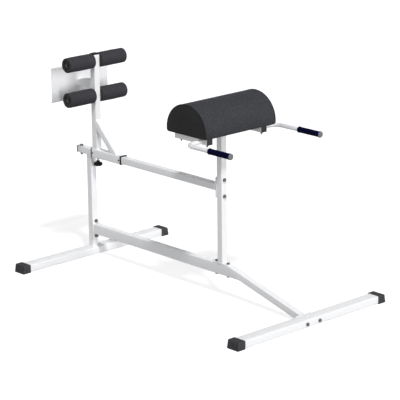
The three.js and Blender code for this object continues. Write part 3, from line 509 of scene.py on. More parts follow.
def bolt(name, place, towards, grip, tip=3):
    """An M10 bolt with washers and nut, its head at place and its shank running towards."""
    width, head, nut, shank, washer, washer_sheet = 17, 6.4, 8, 5, 10.5, 2
    mesh = bmesh.new()
    hexagon(mesh, place, -towards, washer_sheet + 0.1, washer_sheet + head, width)
    for low, high in ((-washer_sheet, -GAP), (grip + GAP, grip + washer_sheet)):
        ring = [(low, shank), (low, washer - 0.3), (low + 0.3, washer), (high - 0.3, washer),
                (high, washer - 0.3), (high, shank)]
        lathe(mesh, ring, place, towards, 32, closed=True)
    hexagon(mesh, place, towards, grip + washer_sheet + 0.1, grip + washer_sheet + nut, width, both=True)
    end = grip + washer_sheet + nut + tip
    profile = [(-1, shank - 0.1), (grip, shank - 0.1)]
    thread, pitch = grip, 1.5
    while thread < end - 2.2:
        profile += [(thread + 0.4, shank - 0.75), (thread + 0.95, shank - 0.1)]
        thread += pitch
    profile += [(end - 1.3, shank - 0.2), (end, shank - 1.4)]
    lathe(mesh, profile, place, towards, 24)
    piece(name, mesh, "frame", "fastener", smooth=28)


# Floor frame and uprights

def plane(station=0, side=0, height=0, normal=X):
    return (at(station, side, height), normal)


def level(height):
    """The level plane at a height."""
    return plane(height=height, normal=Z)


def across_at(side):
    """The plane across the machine at a distance from its middle."""
    return plane(side=side, normal=Y)


def floor_tube(name, station):
    mesh = bmesh.new()
    tube(mesh, FLOOR_TUBE, at(station, 0, FLOOR_TUBE_TOP - FLOOR_TUBE_RISE / 2), Y, X,
         across_at(-BASE_HALF), across_at(BASE_HALF))
    piece(name, mesh, "frame", "powder_coat")


# Sections of a boot: reach past the tube's end, growth, and 1 where it leans
BOOT_ROWS = ((-42.1, -4.6, 0), (-42.1, -1.1, 0), (-41.4, 0, 0), (-26, 0, 0), (0.6, 0, 1), (2.8, -0.5, 1),
             (4.2, -2, 1), (4.8, -4.6, 1), (5, -9, 1))
# Its lower corner: distance in from the side, and height
BOOT_FOOT = ((5, 0), (1.2, 0), (0.3, 0.5), (0, 1.6), (0, 4))


def boot_ring(station, side, reach, grow, leans):
    """A section of the boot. Where it leans, its lower points stand further out."""
    half, top = BOOT_HALF + grow, BOOT_TOP + grow
    points = [(inwards - half, height) for inwards, height in BOOT_FOOT]
    points += arc(BOOT_CORNER - half, top - BOOT_CORNER, BOOT_CORNER, 2, 1, 6)
    points += [(-u, z) for u, z in points[::-1]]
    ring = []
    for u, z in points:
        lean = BOOT_LEAN * (1 - max(z - BOOT_CORNER, 0) / (BOOT_TOP - BOOT_CORNER))
        ring.append(at(station + u, side * (BASE_HALF + reach + leans * lean), z))
    return ring


def boot(name, station, side):
    """A moulded rubber boot: its end leans outwards towards the floor, and a lip runs round its mouth."""
    mesh = bmesh.new()
    loft(mesh, [boot_ring(station, side, *row) for row in BOOT_ROWS])
    piece(name, mesh, "frame", "rubber", smooth=40)


def rear_upright():
    mesh = bmesh.new()
    middle = at(0, 0, RAIL_LOW / 2)
    tube(mesh, FRAME_TUBE, middle, Z, Y, level(FLOOR_TUBE_TOP + GAP), level(RAIL_LOW - GAP))
    weld(mesh, FRAME_TUBE, middle, Z, Y, level(FLOOR_TUBE_TOP))
    weld(mesh, FRAME_TUBE, middle, Z, Y, level(RAIL_LOW), -1)
    piece("rear_upright", mesh, "frame", "powder_coat")


def top_rail():
    mesh = bmesh.new()
    flange_front = FRONT_UPRIGHT - HALF_TUBE - GAP
    flange_rear = flange_front - FLANGE
    middle = at(0, 0, RAIL_MIDDLE)
    tube(mesh, FRAME_TUBE, middle, X, Y, plane(RAIL_REAR), plane(flange_rear + SINK))
    tube(mesh, FLANGE_PLATE, middle, X, Y, plane(flange_rear), plane(flange_front), trim=PLATE_TRIM)
    weld(mesh, FRAME_TUBE, middle, X, Y, plane(flange_rear), -1)
    piece("top_rail", mesh, "frame", "powder_coat")


def lower_beam():
    mesh = bmesh.new()
    flange_rear = HALF_TUBE + GAP
    flange_front = flange_rear + FLANGE
    middle = at(0, 0, BEAM_MIDDLE)
    tube(mesh, BEAM_TUBE, middle, X, Y, plane(flange_front - SHALLOW_SINK),
         plane(JOINT - GAP, 0, BEAM_MIDDLE, JOINT_NORMAL))
    tube(mesh, FLANGE_PLATE, middle, X, Y, plane(flange_rear), plane(flange_front), trim=PLATE_TRIM)
    weld(mesh, BEAM_TUBE, middle, X, Y, plane(flange_front))
    piece("lower_beam", mesh, "frame", "powder_coat")


def front_leg():
    mesh = bmesh.new()
    flange_front = FRONT_BASE - FLOOR_TUBE[0] / 2 - GAP
    flange_rear = flange_front - FLANGE
    middle = at(LEG_TOP, 0, BEAM_TOP - LEG_DEPTH / 2)
    tube(mesh, FRAME_TUBE, middle, LEG, Y, plane(JOINT + GAP, 0, BEAM_MIDDLE, JOINT_NORMAL),
         plane(flange_rear + SINK))
    tube(mesh, LEG_PLATE, at(0, 0, LEG_PLATE_MIDDLE), X, Y, plane(flange_rear), plane(flange_front),
         trim=PLATE_TRIM)
    weld(mesh, FRAME_TUBE, middle, LEG, Y, plane(flange_rear), -1)
    for vert in mesh.verts:
        vert.co.z = max(vert.co.z, WELD_FLOOR_ROOM * MM)
    piece("front_leg", mesh, "frame", "powder_coat")


def front_upright():
    mesh = bmesh.new()
    plate_low = BEAM_TOP + GAP
    plate_top = plate_low + FLANGE
    middle = at(FRONT_UPRIGHT, 0, BRACKET_LOW / 2)
    tube(mesh, FRAME_TUBE, middle, Z, Y, level(plate_top - SHALLOW_SINK), level(BRACKET_LOW - GAP))
    tube(mesh, FOOT_PLATE, middle, Z, Y, level(plate_low), level(plate_top), trim=PLATE_TRIM)
    weld(mesh, FRAME_TUBE, middle, Z, Y, level(plate_top), 1, SMALL_BEAD)
    weld(mesh, FRAME_TUBE, middle, Z, Y, level(BRACKET_LOW), -1)
    piece("front_upright", mesh, "frame", "powder_coat")


def frame_bolts():
    flanged = GAP + FLANGE
    for name, rise in (("upper", BOLT_REACH), ("lower", -BOLT_REACH)):
        bolt(f"rail_bolt_{name}", at(FRONT_UPRIGHT + HALF_TUBE, 0, RAIL_MIDDLE + rise), -X, TUBE + flanged)
    for name, rise in (("upper", BOLT_REACH), ("lower", -BOLT_REACH)):
        bolt(f"beam_bolt_{name}", at(-HALF_TUBE, 0, BEAM_MIDDLE + rise), X, TUBE + flanged)
    for name, reach in (("rear", -BOLT_REACH), ("front", BOLT_REACH)):
        bolt(f"foot_bolt_{name}", at(FRONT_UPRIGHT + reach, 0, BEAM_TOP + flanged), -Z, BEAM_RISE + flanged)
    for hand, side in SIDES:
        bolt(f"base_bolt_{hand}", at(FRONT_BASE + FLOOR_TUBE[0] / 2, side * BOLT_REACH, BASE_BOLT_HEIGHT), -X,
             FLOOR_TUBE[0] + flanged)
    bolt("rail_end_bolt", at(RAIL_END_BOLT, 0, RAIL_TOP), -Z, TUBE, tip=RAIL_END_TIP)


def plug(name, place, outwards, thick, slot, body):
    """The cover of a frame tube's end plug, with a soft edge and a faint dome."""
    mesh = bmesh.new()
    side, face, corner = FRAME_TUBE
    rings = []
    for reach, grow in ((0.3, -0.3), (0.6, 0), (thick - 0.9, 0), (thick - 0.2, -0.6), (thick + 0.15, -1.6),
                        (thick + 0.3, -corner + 0.3)):
        start = place + outwards * (reach * MM)
        rings.append(placed(rounded(side, face, corner, 6, grow), start, Y, outwards.cross(Y)))
    middle = place + outwards * ((thick + 0.3) * MM)
    rings.append([middle + (p - middle) * 0.55 for p in rings[-1]])
    loft(mesh, rings)
    piece(name, mesh, body, slot, smooth=50)


for end, station in (("rear", 0), ("front", FRONT_BASE)):
    floor_tube(f"{end}_base_tube", station)
    for hand, side in SIDES:
        boot(f"{end}_base_cap_{hand}", station, side)
rear_upright()
top_rail()
lower_beam()
front_leg()
front_upright()
frame_bolts()
plug("rail_end_cap", at(RAIL_REAR - 0.2, 0, RAIL_MIDDLE), -X, RAIL_CAP, "black_plastic", "frame")


# Brackets and handles

def pad_brackets():
    mesh = bmesh.new()
    inner_face = BRACKET_SIDE - HALF_TUBE
    middle = at(FRONT_UPRIGHT, 0, BRACKET_MIDDLE)
    for side in (-1, 1):
        tube(mesh, FRAME_TUBE, at(0, side * BRACKET_SIDE, BRACKET_MIDDLE), X, Y, plane(BRACKET_REAR),
             plane(BRACKET_FRONT))
        weld(mesh, FRAME_TUBE, middle, Y, X, across_at(side * inner_face), -side)
    tube(mesh, FRAME_TUBE, middle, Y, X, across_at(-inner_face - SHALLOW_SINK),
         across_at(inner_face + SHALLOW_SINK))
    piece("pad_bracket_frame", mesh, "frame", "powder_coat")


def pad_bolt(name, place):
    """A stud up through a bracket into the board, with a washer and a nut under it."""
    mesh = bmesh.new()
    washer = [(-2, 4), (-2, 8.7), (-1.7, 9), (-0.6, 9), (-0.3, 8.7), (-0.3, 4)]
    lathe(mesh, washer, place, Z, 28, closed=True)
    hexagon(mesh, place, -Z, 2.1, 8.5, 13, both=True)
    shank = [(52, 3.9), (-8, 3.9)]
    for turn in range(4):
        shank += [(-8.6 - 1.4 * turn, 3.4), (-9.2 - 1.4 * turn, 3.95)]
    lathe(mesh, shank + [(-14.2, 3.7), (-15, 2.8)], place, Z, 20)
    piece(name, mesh, "frame", "fastener", smooth=28)


def handle_bar(hand, side):
    mesh = bmesh.new()
    line = [(HANDLE_START, BRACKET_FACE + GAP), (HANDLE_START, 240), (HANDLE_START, 265)]
    line += arc(HANDLE_START + HANDLE_BEND, HANDLE_SIDE - HANDLE_BEND, HANDLE_BEND, 2, 1, 18)
    line += [(station, HANDLE_SIDE) for station in (1330, 1400, 1480, GRIP_END)]
    rings = []
    for i, (x, y) in enumerate(line):
        px, py = line[max(i - 1, 0)]
        nx, ny = line[min(i + 1, len(line) - 1)]
        along = Vector((nx - px, side * (ny - py), 0)).normalized()
        rings.append(placed(circle(HANDLE_RADIUS, 32), at(x, side * y, HANDLE_HEIGHT), along.cross(Z), Z))
    loft(mesh, rings)
    ring = circle(HANDLE_RADIUS, 44)
    spots = placed(ring, at(HANDLE_START, side * BRACKET_FACE, HANDLE_HEIGHT), X, Z)
    bead(mesh, spots, [(X * u + Z * v, Y * side) for u, v in ring], 2.6)
    piece(f"handle_bar_{hand}", mesh, "frame", "powder_coat", smooth=40)


def grip(hand, side):
    """A rubber grip with a rim at each end and a rib every 3.9 mm. Its end rim is blue."""
    mesh = bmesh.new()
    start = at(GRIP_START, side * HANDLE_SIDE, HANDLE_HEIGHT)
    inner = HANDLE_RADIUS + GAP
    profile = [(0, inner), (0, 16.6), (0.8, 17.7), (2, 18), (4.6, 18), (5.8, 17.5), (6.6, 16.4)]
    reach = 8.0
    while reach < GRIP_LENGTH - 14:
        profile += [(reach, 15.7), (reach + 0.7, 16.45), (reach + 2.3, 16.45), (reach + 3.0, 15.7)]
        reach += RIB_PITCH
    for back, radius in ((9.5, 16.2), (8, 17.6), (6.5, 18), (2.2, 18), (0.6, 17.3), (0, 16.2), (0, inner)):
        profile.append((GRIP_LENGTH - back, radius))
    lathe(mesh, profile, start, X, 40, closed=True)
    made = piece(f"grip_{hand}", mesh, "frame", "grip", smooth=50, extra=("grip_blue",))
    for face in made.data.polygons:
        if face.center.x > start.x + (GRIP_LENGTH - 10.5) * MM:
            face.material_index = 1


def grip_plug(hand, side):
    mesh = bmesh.new()
    profile = [(-14, 10), (0.3, 10.2), (0.3, 17.2), (1.2, 17.5), (2.6, 16.9), (3.6, 15.2), (4, 12), (4, 5),
               (4, 0.01)]
    lathe(mesh, profile, at(GRIP_END, side * HANDLE_SIDE, HANDLE_HEIGHT), X, 36)
    piece(f"grip_plug_{hand}", mesh, "frame", "grey_plastic", smooth=50)


pad_brackets()
for hand, side in SIDES:
    for where, station, outwards in (("rear", BRACKET_REAR, -X), ("front", BRACKET_FRONT, X)):
        # The bracket plugs take the darker copy of the grey plastic: painted shade under the pad.
        plug(f"bracket_plug_{where}_{hand}", at(station, side * BRACKET_SIDE, BRACKET_MIDDLE), outwards,
             PLUG_FLANGE, "grey_plastic_painted_shade", "frame")
    for where, station in (("rear", BRACKET_REAR + REAR_STUD), ("front", BRACKET_FRONT - FRONT_STUD)):
        pad_bolt(f"pad_bolt_{where}_{hand}", at(station, side * BRACKET_SIDE, BRACKET_LOW))
for hand, side in SIDES:
    handle_bar(hand, side)
    grip(hand, side)
    grip_plug(hand, side)


# Foot carriage

def carriage_sleeve():
    mesh = bmesh.new()
    tube(mesh, SLEEVE_TUBE, at(0, 0, RAIL_MIDDLE), X, Y, plane(SLEEVE_REAR), plane(SLEEVE_FRONT), wall=2.5)
    place = at(CLAMP, 0, RAIL_MIDDLE - SLEEVE_TUBE[1] / 2)
    boss = [(0.2, 8), (-17.2, 8), (-18, 7.2), (-18, 5.4), (0.2, 5.4)]
    lathe(mesh, boss, place, Z, 32, closed=True)
    ring = circle(8, 36)
    bead(mesh, placed(ring, place, X, Y), [(X * u + Y * v, -Z) for u, v in ring], 2.2)
    piece("carriage_sleeve", mesh, "carriage", "powder_coat")


# Sections of a collar: distance into the sleeve from its end, width and corner radius
COLLAR_ROWS = ((-8, 40.9, 3.6), (-8, 50.4, 3.6), (-7.5, 51.5, 4), (-6.8, 52, 4), (-1, 52, 4), (-0.5, 51.5, 4),
               (-GAP, 46, 4), (-GAP, 44.1, 2.4), (30, 44.1, 2.4), (30, 40.9, 3.6))


def sleeve_collar(name, station, inwards):
    """A slide bush: a lip outside the sleeve, a spigot inside it, and a snap peg through each side."""
    mesh = bmesh.new()
    rings = []
    for reach, width, corner in COLLAR_ROWS:
        place = at(station + inwards * reach, 0, RAIL_MIDDLE)
        rings.append(placed(rounded(width, width, corner), place, Y, Z))
    closed_loft(mesh, rings)
    peg = [(22.2, 4.4), (27.0, 4.4), (27.5, 4.0), (27.6, 3.0), (27.2, 2.4), (27.1, 0.01)]
    for side in (-1, 1):
        lathe(mesh, peg, at(station + PEG_INSET * inwards, 0, RAIL_MIDDLE), Y * side, 28)
    piece(name, mesh, "carriage", "black_plastic", smooth=40)


def mast():
    mesh = bmesh.new()
    middle = at(MAST, 0, (MAST_FOOT + MAST_TOP) / 2)
    tube(mesh, FRAME_TUBE, middle, Z, Y, level(MAST_FOOT), level(MAST_TOP))
    weld(mesh, FRAME_TUBE, middle, Z, Y, level(SLEEVE_TOP), 1, SMALL_BEAD)
    piece("mast", mesh, "carriage", "powder_coat")
    plug("mast_cap", at(MAST, 0, MAST_TOP), Z, MAST_CAP, "black_plastic", "carriage")


def mast_brace():
    mesh = bmesh.new()
    down, mast_face = Vector((1, 0, -1)).normalized(), MAST + HALF_TUBE
    middle = at(mast_face, 0, BRACE_HEIGHT)
    tube(mesh, FRAME_TUBE, middle, down, Y, plane(mast_face + GAP), level(MAST_FOOT))
    weld(mesh, FRAME_TUBE, middle, down, Y, plane(mast_face + 0.05), 1, FINE_BEAD)
    weld(mesh, FRAME_TUBE, middle, down, Y, level(SLEEVE_TOP + 0.05), -1, FINE_BEAD)
    piece("mast_brace", mesh, "carriage", "powder_coat")


def sheet_outline():
    """Side view of the folded footplate: its outer face and back along its inner face."""
    edge, bend = PLATE_FRONT - PLATE_LIP, PLATE_FRONT - PLATE_BEND
    outer = [(edge, PLATE_TOP), (bend, PLATE_TOP)]
    inner = [(edge, PLATE_TOP - PLATE_SHEET), (bend, PLATE_TOP - PLATE_SHEET)]
    for height, start in ((PLATE_TOP - PLATE_BEND, 1), (PLATE_FOOT + PLATE_BEND, 0)):
        outer += arc(bend, height, PLATE_BEND, start, start - 1, 6)
        inner += arc(bend, height, PLATE_BEND - PLATE_SHEET, start, start - 1, 6)
    outer.append((edge, PLATE_FOOT))
    inner.append((edge, PLATE_FOOT + PLATE_SHEET))
    return outer + inner[::-1]


def footplate():
    mesh = bmesh.new()
    outline = sheet_outline()
    loft(mesh, [[at(x, y, z) for x, z in outline]
                for y in (-PLATE_HALF, -150, -75, 0, 75, 150, PLATE_HALF)])
    piece("footplate", mesh, "carriage", "powder_coat", bevel=0.7, smooth=50)


def footplate_arm():
    """The arm's lower edge is level. Its upper one rises towards the mast and bows upwards."""
    mesh = bmesh.new()
    rear, front = PLATE_FRONT + GAP, MAST - HALF_TUBE - GAP
    steps = 12
    lower, upper = [], []
    for share in [i / steps for i in range(steps + 1)]:
        rise = ARM_AT_MAST + (ARM_AT_PLATE - ARM_AT_MAST) * share + ARM_BOW * math.sin(math.pi * share)
        lower.append((rear + (front - rear) * share, ARM_LOW))
        upper.append((front - (front - rear) * share, ARM_LOW + rise))
    loft(mesh, [[at(x, y, z) for x, z in lower + upper] for y in (-HALF_TUBE, 0, HALF_TUBE)])
    piece("footplate_arm", mesh, "carriage", "powder_coat", bevel=2.2, smooth=30)


carriage_sleeve()
sleeve_collar("sleeve_collar_rear", SLEEVE_REAR, 1)
sleeve_collar("sleeve_collar_front", SLEEVE_FRONT, -1)
mast()
mast_brace()
footplate()
footplate_arm()


# Foam rollers and axles

def foam_profile():
    """The foam from its inner end's bore, over its crowned outside, to the recess round the hub's disc."""
    inner_rim, outer_rim, steps = 4, 4.2, 24
    first, last = FOAM_INNER + inner_rim, FOAM_OUTER - outer_rim
    profile = [(FOAM_INNER, FOAM_BORE), (FOAM_INNER, 39.5)]
    profile += arc(first, 39.4, inner_rim, 2, 1, 7)[1:]
    for step in range(1, steps):
        share = step / steps
        profile.append((first + (last - first) * share, 43.4 + 0.9 * math.sin(math.pi * share)))
    profile += arc(last, 39.2, outer_rim, 1, 0, 7)
    profile += [(213.4, 32), (212.9, 29.6), (210.5, 28.85), (FOAM_RECESS, 28.85)]
    return profile + [(FOAM_RECESS, FOAM_BORE)]


HUB_PROFILE = [(21.5, 10.6), (21.5, 27.5), (22.3, 28.4), (23.4, 28.4), (23.4, 15), (201.7, 15), (201.7, 28.3),
               (204.7, 28.3), (205.5, 27.4), (205.5, 24.6), (204.5, 23.8), (204.5, 17.6), (205.3, 16.6),
               (205.3, 14.2), (204.7, 13.4), (204.7, 10.6)]


def foam_sleeve(name, body, place, side, phase):
    """A foam sleeve with slow, shallow waves in its outside."""
    mesh = bmesh.new()
    lathe(mesh, foam_profile(), place, Y * side, 72, closed=True)
    for vert in mesh.verts:
        away = vert.co - place
        radial = Vector((away.x, 0, away.z))
        if radial.length > 34 * MM:
            turn = math.atan2(away.z, away.x) * 3 + side * 3.1 + away.y * 20
            wave = math.sin(away.y * 61 + phase) * math.sin(turn)
            vert.co += radial.normalized() * (FOAM_WAVE * wave * MM)
    foam = piece(name, mesh, body, "roller_foam", smooth=60)


def roller_hub(name, body, place, side):
    """A plastic tube with a disc at each end, and six ribs on the outer disc."""
    mesh = bmesh.new()
    lathe(mesh, HUB_PROFILE, place, Y * side, 48, closed=True)
    ribs = 6
    for rib in range(ribs):
        angle = 2 * math.pi * rib / ribs + 0.3
        ray = Vector((math.cos(angle), 0, math.sin(angle)))
        tube(mesh, (1.6, 1.6, 0.4), place + Y * (side * 204.8 * MM), ray, Y,
             (place + ray * (17 * MM), ray), (place + ray * (24.4 * MM), ray), trim=0.2)
    piece(name, mesh, body, "hub_plastic")


def axle_washer(bore, side):
    """Profile of the washer at one end of an axle."""
    return [(side * reach, radius) for reach, radius in
            ((205.8, bore), (205.8, 12.7), (206.1, 13), (207.5, 13), (207.8, 12.7), (207.8, bore))]


def axle(name, place):
    """A rod with a hexagon head and washer at its left end, and a thread for the nut at its right end."""
    mesh = bmesh.new()
    hexagon(mesh, place - Y * (AXLE_SEAT * MM), -Y, 0, 4.9, 19)
    lathe(mesh, axle_washer(5, -1)[::-1], place, Y, 36, closed=True)
    profile = [(-205.5, 9.9), (205.4, 9.9), (205.6, 5.9)]
    for turn in range(4):
        profile += [(206.5 + 1.5 * turn, 5.3), (207.2 + 1.5 * turn, 5.9)]
    lathe(mesh, profile + [(212.5, 5.4), (212.8, 4.6)], place, Y, 40)
    piece(name, mesh, "carriage", "axle", smooth=28)


def axle_nut(name, place):
    mesh = bmesh.new()
    lathe(mesh, axle_washer(6.2, 1), place, Y, 36, closed=True)
    hexagon(mesh, place + Y * (AXLE_SEAT * MM), Y, 0, 4.9, 19)
    piece(name, mesh, "carriage", "fastener", smooth=28)


for row, height in (("upper", UPPER_AXLE), ("lower", LOWER_AXLE)):
    place = at(MAST, 0, height)
    for hand, side in SIDES:
        body = f"roller_{row}_{hand}"
        foam_sleeve(f"roller_foam_{row}_{hand}", body, place, side, height * 0.013)
        roller_hub(f"roller_hub_{row}_{hand}", body, place, side)
    axle(f"{row}_axle", place)
    axle_nut(f"{row}_axle_nut", place)


# Clamp

def clamp_screw():
    mesh = bmesh.new()
    profile = [(SCREW_LOW, 4.9)]
    height = SCREW_LOW + 1
    while height < SCREW_TOP - SCREW_PITCH:
        profile += [(height, 4.2), (height + 0.75, 4.95)]
        height += SCREW_PITCH
    profile += [(SCREW_TOP, 4.2), (RAIL_LOW - GAP, 3.4)]
    lathe(mesh, profile, at(CLAMP, 0, 0), Z, 28)
    piece("clamp_screw", mesh, "clamp", "fastener", smooth=28)


# Heights above the knob's lower face, with the share of its full width there
KNOB_ROWS = ((0, 0.70), (0.3, 0.86), (1.5, 0.94), (4, 0.99), (7.5, 1.0), (12.5, 1.0), (16, 0.975),
             (18.5, 0.91), (19.8, 0.80), (20.1, 0.6))


def star_knob():
    """A knob with six lobes and a round hub on top of it."""
    mesh = bmesh.new()
    rings = []
    sides = 96
    for rise, share in KNOB_ROWS:
        points = []
        for i in range(sides):
            angle = 2 * math.pi * i / sides
            lobes = math.cos(KNOB_LOBES * angle)
            radius = (24.4 + 1.6 * lobes - 1.4 * max(0, -lobes) ** 2) * share
            points.append((radius * math.cos(angle), radius * math.sin(angle)))
        rings.append(placed(points, at(CLAMP, 0, KNOB_LOW + rise), X, Y))
    loft(mesh, rings)
    hub = [(19.7, 11), (29.7, 10.8), (30.7, 10.0), (31, 9), (31, 5.2)]
    lathe(mesh, hub, at(CLAMP, 0, KNOB_LOW), Z, 36)
    piece("star_knob", mesh, "clamp", "black_plastic", smooth=40)


clamp_screw()
star_knob()


# Hip pad

def pad_outline(grow=0.0, steps=60):
    """End view of the pad round its middle station, from its lower rear edge over the top."""
    half, rise = PAD_HALF + grow, PAD_RISE + grow
    side = [(inwards - half, PAD_LOW + up) for inwards, up in ((5, 0), (3.2, 6), (1.4, 12), (0.5, 18))]
    over = [(half * u, PAD_LOW + PAD_SIDE + rise * v) for u, v in arc(0, 0, 1, 2, 0, steps)]
    return side + over + [(-x, z) for x, z in side[::-1]]


def pad_body():
    """The stuffed cover before the cloth settles: a barrel between end panels with rounded rims."""
    mesh = bmesh.new()
    rows = [(PAD_END, -3), (PAD_END, -0.8), (PAD_END - 0.8, 0)]
    rows += [(PAD_END * (1 - i / 12), 0) for i in range(1, 24)]
    rows += [(-y, grow) for y, grow in rows[2::-1]]
    loft(mesh, [[at(PAD_MIDDLE + x, y, max(z, PAD_LOW + 0.6)) for x, z in pad_outline(grow)]
                for y, grow in rows])
    return mesh


def near_seam(place):
    """True close to the sewn edges of the two end panels and to the tacked lower rim."""
    x, y, z = (place.x - ZERO) / MM - PAD_MIDDLE, abs(place.y) / MM, place.z / MM - PAD_LOW
    if z < PAD_TACKED:
        return True
    rise = max(z - PAD_SIDE, 0) / PAD_RISE
    return y > PAD_END - PAD_SEWN and math.hypot(x / PAD_HALF, rise) > 1 - PAD_SEWN / PAD_HALF


def settled(obj, voxel, pressure, frames, cap, hold):
    """Lets a cover settle as cloth under a little pressure, with each point's movement capped."""
    scene = bpy.context.scene
    bpy.context.view_layer.objects.active = obj
    mod = obj.modifiers.new("even", "REMESH")
    mod.mode, mod.voxel_size = "VOXEL", voxel * MM
    bpy.ops.object.modifier_apply(modifier=mod.name)
    start = [v.co.copy() for v in obj.data.vertices]
    group = obj.vertex_groups.new(name="held")
    group.add([v.index for v in obj.data.vertices if hold(v.co)], 1.0, "REPLACE")
    cloth = obj.modifiers.new("cloth", "CLOTH")
    how = cloth.settings
    how.quality, how.mass, how.vertex_group_mass = 6, 0.3, "held"
    how.tension_stiffness = how.compression_stiffness = 40
    how.shear_stiffness, how.bending_stiffness = 20, 6
    how.use_pressure, how.uniform_pressure_force = True, pressure
    how.effector_weights.gravity = 0
    cloth.point_cache.frame_start, cloth.point_cache.frame_end = 1, frames
    for frame_number in range(1, frames + 1):
        scene.frame_set(frame_number)
    bpy.ops.object.modifier_apply(modifier=cloth.name)
    for vert, old in zip(obj.data.vertices, start):
        move = vert.co - old
        if move.length > cap * MM:
            vert.co = old + move.normalized() * (cap * MM)
    scene.frame_set(1)
    obj.vertex_groups.clear()


def seat_cut(obj, node, gap):
    """Takes the room of a plain box-shaped node out of the underside of a piece."""
    low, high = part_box(node)
    below = 6
    low, high = Vector(low) - Vector((gap, gap, below)) * MM, Vector(high) + Vector((gap, gap, gap)) * MM
    mesh = bmesh.new()
    bmesh.ops.create_cube(mesh, size=1)
    for vert in mesh.verts:
        vert.co = Vector(low[i] + (vert.co[i] + 0.5) * (high[i] - low[i]) for i in range(3))
    cutter = linked("cutter", mesh)
    seat = obj.modifiers.new("seat", "BOOLEAN")
    seat.operation, seat.solver, seat.object = "DIFFERENCE", "EXACT", cutter
    depsgraph = bpy.context.evaluated_depsgraph_get()
    cut = bpy.data.meshes.new_from_object(obj.evaluated_get(depsgraph), depsgraph=depsgraph)
    obj.modifiers.clear()
    obj.data = cut
    bpy.data.objects.remove(cutter)


def add_pad():
    pad = piece("hip_pad", pad_body(), "frame", "vinyl", smooth=40, extra=("vinyl_end_painted_shade",))
    settled(pad, voxel=5, pressure=4, frames=20, cap=3.5, hold=near_seam)
    smooth = pad.modifiers.new("smooth", "SUBSURF")
    smooth.levels = smooth.render_levels = 1
    pad.data.shade_smooth()
    seat_cut(pad, "pad_board", GAP)
    # Faces of the end panels take the darker copy of the vinyl: painted shade on the ends.
    for face in pad.data.polygons:
        if abs(face.normal.y) > 0.75 and abs(face.center.y) > (PAD_END - PAD_PANEL) * MM:
            face.material_index = 1


def stitch(mesh, middle, along, up):
    """A short thread whose two ends dip into the cover."""
    rings = []
    for reach, radius, dip in ((-2.2, 0.1, 0.5), (-1.5, 0.42, 0), (1.5, 0.42, 0), (2.2, 0.1, 0.5)):
        place = middle + along * (reach * MM) - up * (dip * MM)
        rings.append(placed(circle(radius, 6), place, up, along.cross(up)))
    loft(mesh, rings)


def add_pad_seams():
    """A narrow welt round each end panel, with a row of stitches on either side of it."""
    welt, thread = bmesh.new(), bmesh.new()
    for side in (-1, 1):
        reach = side * (PAD_END - WELT_INSET)
        line = [at(PAD_MIDDLE + x, reach, z) for x, z in pad_outline(-WELT_INSET, 120) if z > PAD_LOW + 2.6]
        middle = at(PAD_MIDDLE, reach, PAD_LOW + 70)
        rings, spots = [], []
        for k, place in enumerate(line):
            along = (line[min(k + 1, len(line) - 1)] - line[max(k - 1, 0)]).normalized()
            outward = Y.cross(along)
            if outward.dot(place - middle) < 0:
                outward = -outward
            size = 1.9 + 0.12 * math.sin(k * 0.9) + 0.08 * math.sin(k * 2.3)
            rings.append(placed(circle(size, 10), place, outward, Y * side))
            spots.append((place, along, outward))
        loft(welt, rings)
        gone, made = 0, 0
        for (place, along, outward), (following, _, _) in zip(spots, spots[1:]):
            gone += (following - place).length / MM
            if gone >= made * STITCH_PITCH:
                made += 1
                stitch(thread, place - Y * (side * 5.0 * MM) + outward * (0.85 * MM), along, outward)
                stitch(thread, place - outward * (5.5 * MM) + Y * (side * 1.5 * MM), along, Y * side)
    piece("pad_welt", welt, "frame", "vinyl", smooth=60, added=True)
    piece("pad_stitches", thread, "frame", "thread", smooth=60, added=True)


add_pad()
add_pad_seams()


# The frame's own nodes that no piece replaces

SLOT_OF = {row["node"]: row["material_slot"] for row in frame["record"]["subparts"]}
for name, node in nodes.items():
    if not node.hide_render:
        node.data.materials.clear()
        node.data.materials.append(MATERIALS[SLOT_OF[name]])
        soften(node, 0.5, 3, 20)


# Floor, world, lamps and camera

def shown(graph):
    """1 for the rays that show the backdrop: straight, mirrored or through glass."""
    path = graph.node("LightPath")
    most = path.outputs["Is Camera Ray"]
    for ray in ("Is Glossy Ray", "Is Transmission Ray"):
        most = graph.node("Math", {0: most, 1: path.outputs[ray]}, operation="MAXIMUM").outputs[0]
    return most


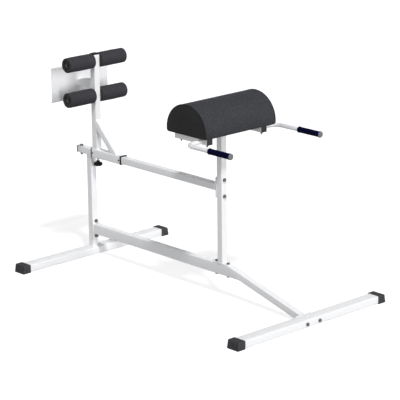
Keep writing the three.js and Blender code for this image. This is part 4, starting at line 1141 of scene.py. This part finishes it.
def floor_material():
    """A grey floor that takes a shadow, lifted to white where it is seen."""
    grey, lifted = 0.5, 0.72
    material = bpy.data.materials.new("floor")
    graph = Graph(material)
    graph.tree.nodes.clear()
    plain = graph.node("BsdfDiffuse", {"Color": (grey, grey, grey, 1)})
    lift = graph.node("Emission", {"Color": (1, 1, 1, 1), "Strength": graph.product(shown(graph), lifted)})
    total = graph.node("AddShader", {0: plain.outputs[0], 1: lift.outputs[0]})
    graph.node("OutputMaterial", {"Surface": total.outputs[0]})
    return material


def add_floor():
    """A wide floor half a millimetre below the boots."""
    mesh = bmesh.new()
    bmesh.ops.create_grid(mesh, x_segments=4, y_segments=4, size=30)
    floor = linked("floor", mesh)
    floor.location.z = -0.5 * MM
    floor.data.materials.append(floor_material())


def add_world():
    """Pure white behind the object. For light it is a dim, faintly blue studio, dimmest overhead."""
    level_strength, top_strength = 0.4, 0.1
    world = bpy.data.worlds.new("studio")
    bpy.context.scene.world = world
    graph = Graph(world)
    graph.tree.nodes.clear()
    parts = graph.node("SeparateXYZ", {0: graph.node("TexCoord").outputs["Generated"]})
    strength = graph.node("MapRange", {"Value": parts.outputs["Z"], "To Min": level_strength,
                                       "To Max": top_strength}).outputs["Result"]
    sky = graph.node("Background", {"Color": (0.94, 0.96, 1, 1), "Strength": strength})
    backdrop = graph.node("Background", {"Color": (1, 1, 1, 1)})
    either = graph.node("MixShader", {0: shown(graph), 1: sky.outputs[0], 2: backdrop.outputs[0]})
    graph.node("OutputWorld", {"Surface": either.outputs[0]})


def add_sun(name, energy, angle, towards, glints=True):
    """A sun towards a direction. Without glints no shiny surface mirrors it."""
    data = bpy.data.lights.new(name, "SUN")
    data.energy, data.angle = energy, math.radians(angle)
    lamp = bpy.data.objects.new(name, data)
    lamp.visible_glossy = glints
    lamp.rotation_euler = Vector(towards).to_track_quat("Z", "Y").to_euler()
    bpy.context.scene.collection.objects.link(lamp)


add_floor()
add_world()
add_sun("key", 2.1, 6.5, (0.467, -0.235, 0.852))
add_sun("fill", 1.55, 30, (0.92, 0.30, 0.17))
add_sun("side", 0.44, 50, (0.10, -0.93, 0.35))
add_sun("back", 0.7, 25, (-0.76, 0.65, 0.04), glints=False)
add_camera()
bpy.context.scene.view_settings.view_transform = "Standard"
